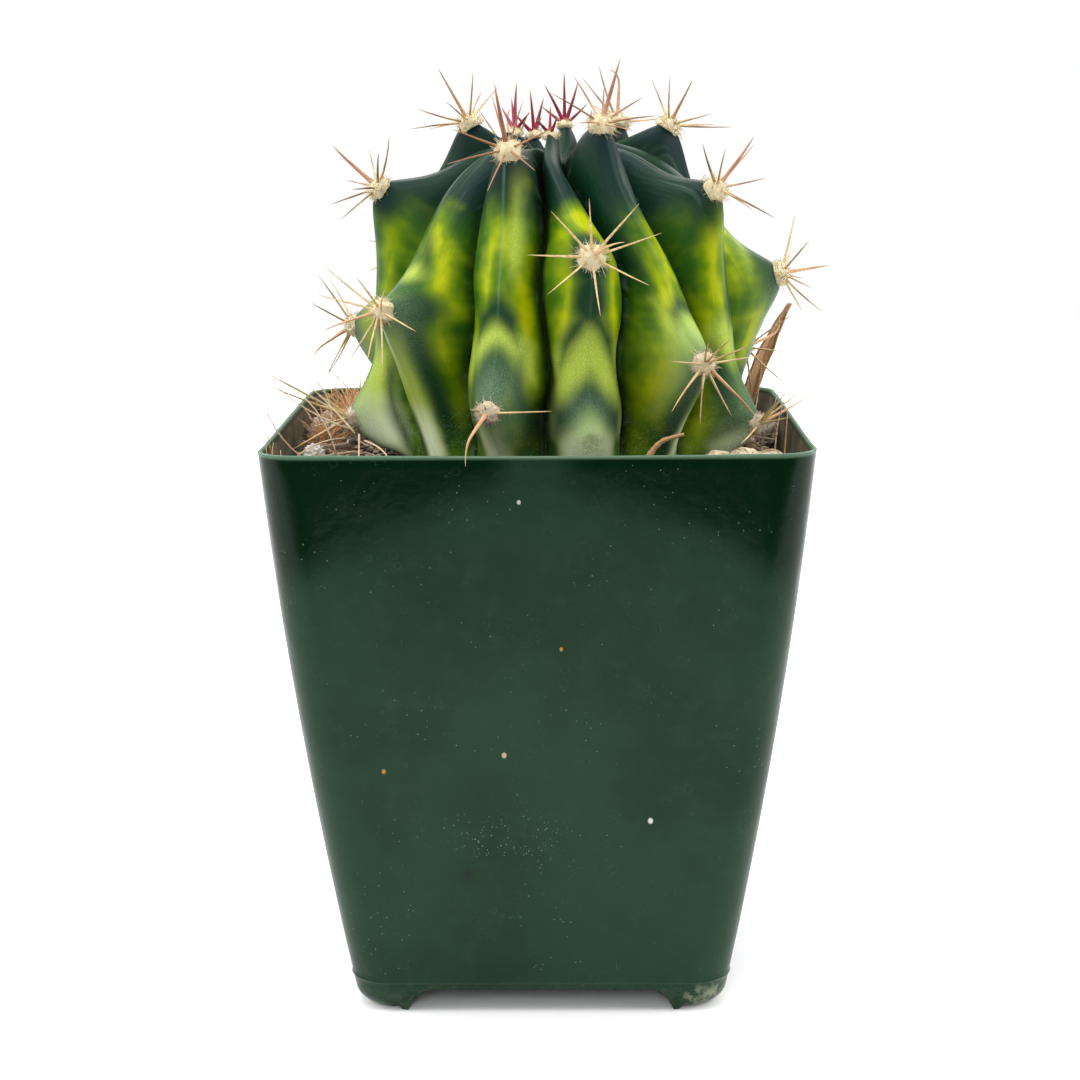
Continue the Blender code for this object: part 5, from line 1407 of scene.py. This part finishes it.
def make_straws(finish):
    """The bent straw in front and thin upright ones at the sides, each a tube along a rounded route."""
    share = np.linspace(0, 1, STRAW_STEPS)
    for name, radius, replaced, route in STRAWS:
        places = np.arange(len(route))
        path = [np.interp(share * places[-1], places, axis) for axis in np.transpose(route)]
        path = np.stack(path, axis=-1)
        for _ in range(3):
            path[1:-1] = (path[:-2] + path[1:-1] * 2 + path[2:]) / 4
        thick = radius * (1 - 0.45 * share ** 2) * (1 + 0.12 * np.sin(np.arange(STRAW_STEPS) * 1.9))
        points, faces, along = tubes(path[None] * MM, thick * MM, 12, (0.1, 1.0, 0.2))
        build_piece(name, (points, faces), finish, "husk", replaced, share=along, tone=0.8)


def earth_finish():
    """Dark, rough potting mix with paler crumbs."""
    earth = Finish("soil")
    grain = earth.noise(1.3, 5.0, 0.7).step(0.42, 0.72)
    colour = earth.mix(rgb(0.003, 0.0018, 0.001), rgb(0.036, 0.018, 0.009), grain)
    colour = earth.coats(colour, ((0.16, 0.09, 0.04), earth.field("tone").step(0.55, 1.0) * 0.6))
    return earth.wear(colour, 0.95, earth.bump(earth.noise(2.4, 5.0, 0.75), 0.7))


def stone_finish(name, dark, light, pore):
    """Stone of two tones, pitted by open pores with painted shade in them, and rusty flecks."""
    stone = Finish(name)
    mottle = stone.noise(0.55, 5.0, 0.65)
    pits = stone.cells(pore).step(0.05, 0.32)
    colour = stone.mix(rgb(*dark), rgb(*light), mottle.step(0.34, 0.64))
    # The pores are darkened: painted shade in them
    colour = stone.mix(stone.coats(colour, ((0.10, 0.06, 0.035), 0.7)), colour, pits)
    colour = stone.coats(colour, ((0.32, 0.15, 0.06), stone.noise(1.1, 3.0).step(0.62, 0.72) * 0.5))
    return stone.wear(colour, 0.9, stone.bump(pits, 0.35, stone.bump(mottle, 0.5)))


def fibre_finish(name, dark, light):
    """Dry plant fibre: each strand its own tone between the two, streaked along itself."""
    fibre = Finish(name, Sheen_Weight=0.15)
    streak = fibre.noise(1.8, 4.0, 0.65)
    colour = fibre.mix(rgb(*dark), rgb(*light), fibre.field("tone") * 0.65 + streak.step(0.3, 0.7) * 0.35)
    return fibre.wear(colour, 0.75, fibre.bump(streak, 0.15))


# Floor, light and camera

def make_stage():
    """A white sheet whose front edge is a parabola that comes forward before the pot, level at both sides."""
    across = np.linspace(-SHEET_HALF, SHEET_HALF, 241)
    front = np.minimum(-SHEET_FRONT + SHEET_FALL * across ** 2, -SHEET_SIDES)
    points = np.concatenate([np.column_stack([across, front, 0 * across]),
                             np.column_stack([across, 0 * across + SHEET_HALF, 0 * across])])
    mesh = bpy.data.meshes.new("floor")
    mesh.from_pydata(points.tolist(), [], grid_faces(2, len(across)).tolist())
    floor = bpy.data.objects.new("floor", mesh)
    bpy.context.scene.collection.objects.link(floor)
    white = Finish("white_floor", Specular_IOR_Level=0.2)
    paper = white.mix(rgb(0.94, 0.94, 0.94), rgb(0.96, 0.96, 0.96), white.noise(0.05))
    mesh.materials.append(white.wear(paper, 0.9))


def add_light(name, place, turns, size, power):
    """A rectangular lamp: its place, its turns about X, Y and Z in degrees, its sides and its watts."""
    lamp = bpy.data.lights.new(name, "AREA")
    lamp.shape = "RECTANGLE"
    lamp.size, lamp.size_y = size
    lamp.energy = power
    made = bpy.data.objects.new(name, lamp)
    made.location = place
    made.rotation_euler = [math.radians(turn) for turn in turns]
    bpy.context.scene.collection.objects.link(made)


def make_world():
    """White where it is seen; as light, bright overhead, dark below the horizon and dim behind the camera."""
    world = bpy.data.worlds.new("studio")
    world.use_nodes = True
    sky = Nodes(world.node_tree)
    _, ahead, up = sky.parts(sky.node("TexCoord", output="Generated"))
    light = sky.ramp((ahead * BEHIND_CAMERA_DIMMING + up + 1) * 0.5, *SKY)
    seen = sky.node("LightPath", output="Is Camera Ray")
    sky.feed(world.node_tree.nodes["Background"].inputs["Color"], sky.mix(light, rgb(1, 1, 1), seen))
    bpy.context.scene.world = world


def make_lights():
    """The world and the lamps, with colours shown as they are."""
    make_world()
    for lamp in LAMPS:
        add_light(*lamp)
    bpy.context.scene.view_settings.view_transform = "Standard"


def make_camera():
    """The camera, turned, tilted down and rolled as the one that took the picture."""
    lens = bpy.data.cameras.new("camera")
    lens.lens = CAMERA_LENS
    lens.sensor_width = CAMERA_SENSOR
    lens.clip_start = 0.01
    camera = bpy.data.objects.new("camera", lens)
    bpy.context.scene.collection.objects.link(camera)
    turn = Matrix.Rotation(CAMERA_TURN, 4, "Z")
    tilt = Matrix.Rotation(math.pi / 2 - CAMERA_DOWN, 4, "X")
    roll = Matrix.Rotation(CAMERA_ROLL, 4, "Z")
    camera.matrix_world = Matrix.Translation(CAMERA_PLACE) @ turn @ tilt @ roll
    bpy.context.scene.camera = camera


make_camera()
make_lights()
make_stage()
finishes = {
    "soil": earth_finish(),
    "spines": spine_finish(young=False),
    "young": spine_finish(young=True),
    "wool": wool_finish(),
    "pumice": stone_finish("pumice", (0.32, 0.24, 0.14), (0.64, 0.53, 0.37), 1.5),
    "gravel": stone_finish("gravel", (0.20, 0.15, 0.12), (0.50, 0.43, 0.36), 0.8),
    "perlite": stone_finish("perlite", (0.66, 0.63, 0.55), (0.88, 0.86, 0.80), 2.4),
    "bark": fibre_finish("bark", (0.14, 0.08, 0.045), (0.48, 0.36, 0.23)),
    "coir": fibre_finish("coir", (0.28, 0.12, 0.04), (0.72, 0.42, 0.17)),
    "husk": fibre_finish("husk", (0.13, 0.055, 0.020), (0.48, 0.27, 0.11)),
    "needle": fibre_finish("old_needle", (0.20, 0.09, 0.045), (0.80, 0.62, 0.40)),
}
make_stem(skin_finish())
chance = random.Random(SEED)
for rib in range(RIBS):
    make_cluster(rib, "lower", LOWER_TUBERCLES[rib][1], chance, finishes)
    make_cluster(rib, "upper", UPPER_TUBERCLES[rib][1], chance, finishes)
make_pot(plastic_finish())
make_soil(finishes["soil"])
for name, *sizes in STONES:
    kind = "perlite" if name.startswith("perlite") else (
        "pumice" if name in ("stone_pumice", "stone_pale", "stone_back") else "gravel")
    make_stone(name, *sizes, finishes[kind], kind)
for name, *sizes in BARK_CHIPS:
    make_bark(name, *sizes, finishes["bark"])
for name, *sizes in TUFTS:
    make_tuft(name, *sizes, finishes["coir"])
make_litter(finishes)
make_chips(finishes)
make_dead_spines(finishes["needle"])
make_husk(finishes["husk"])
make_straws(finishes["husk"])
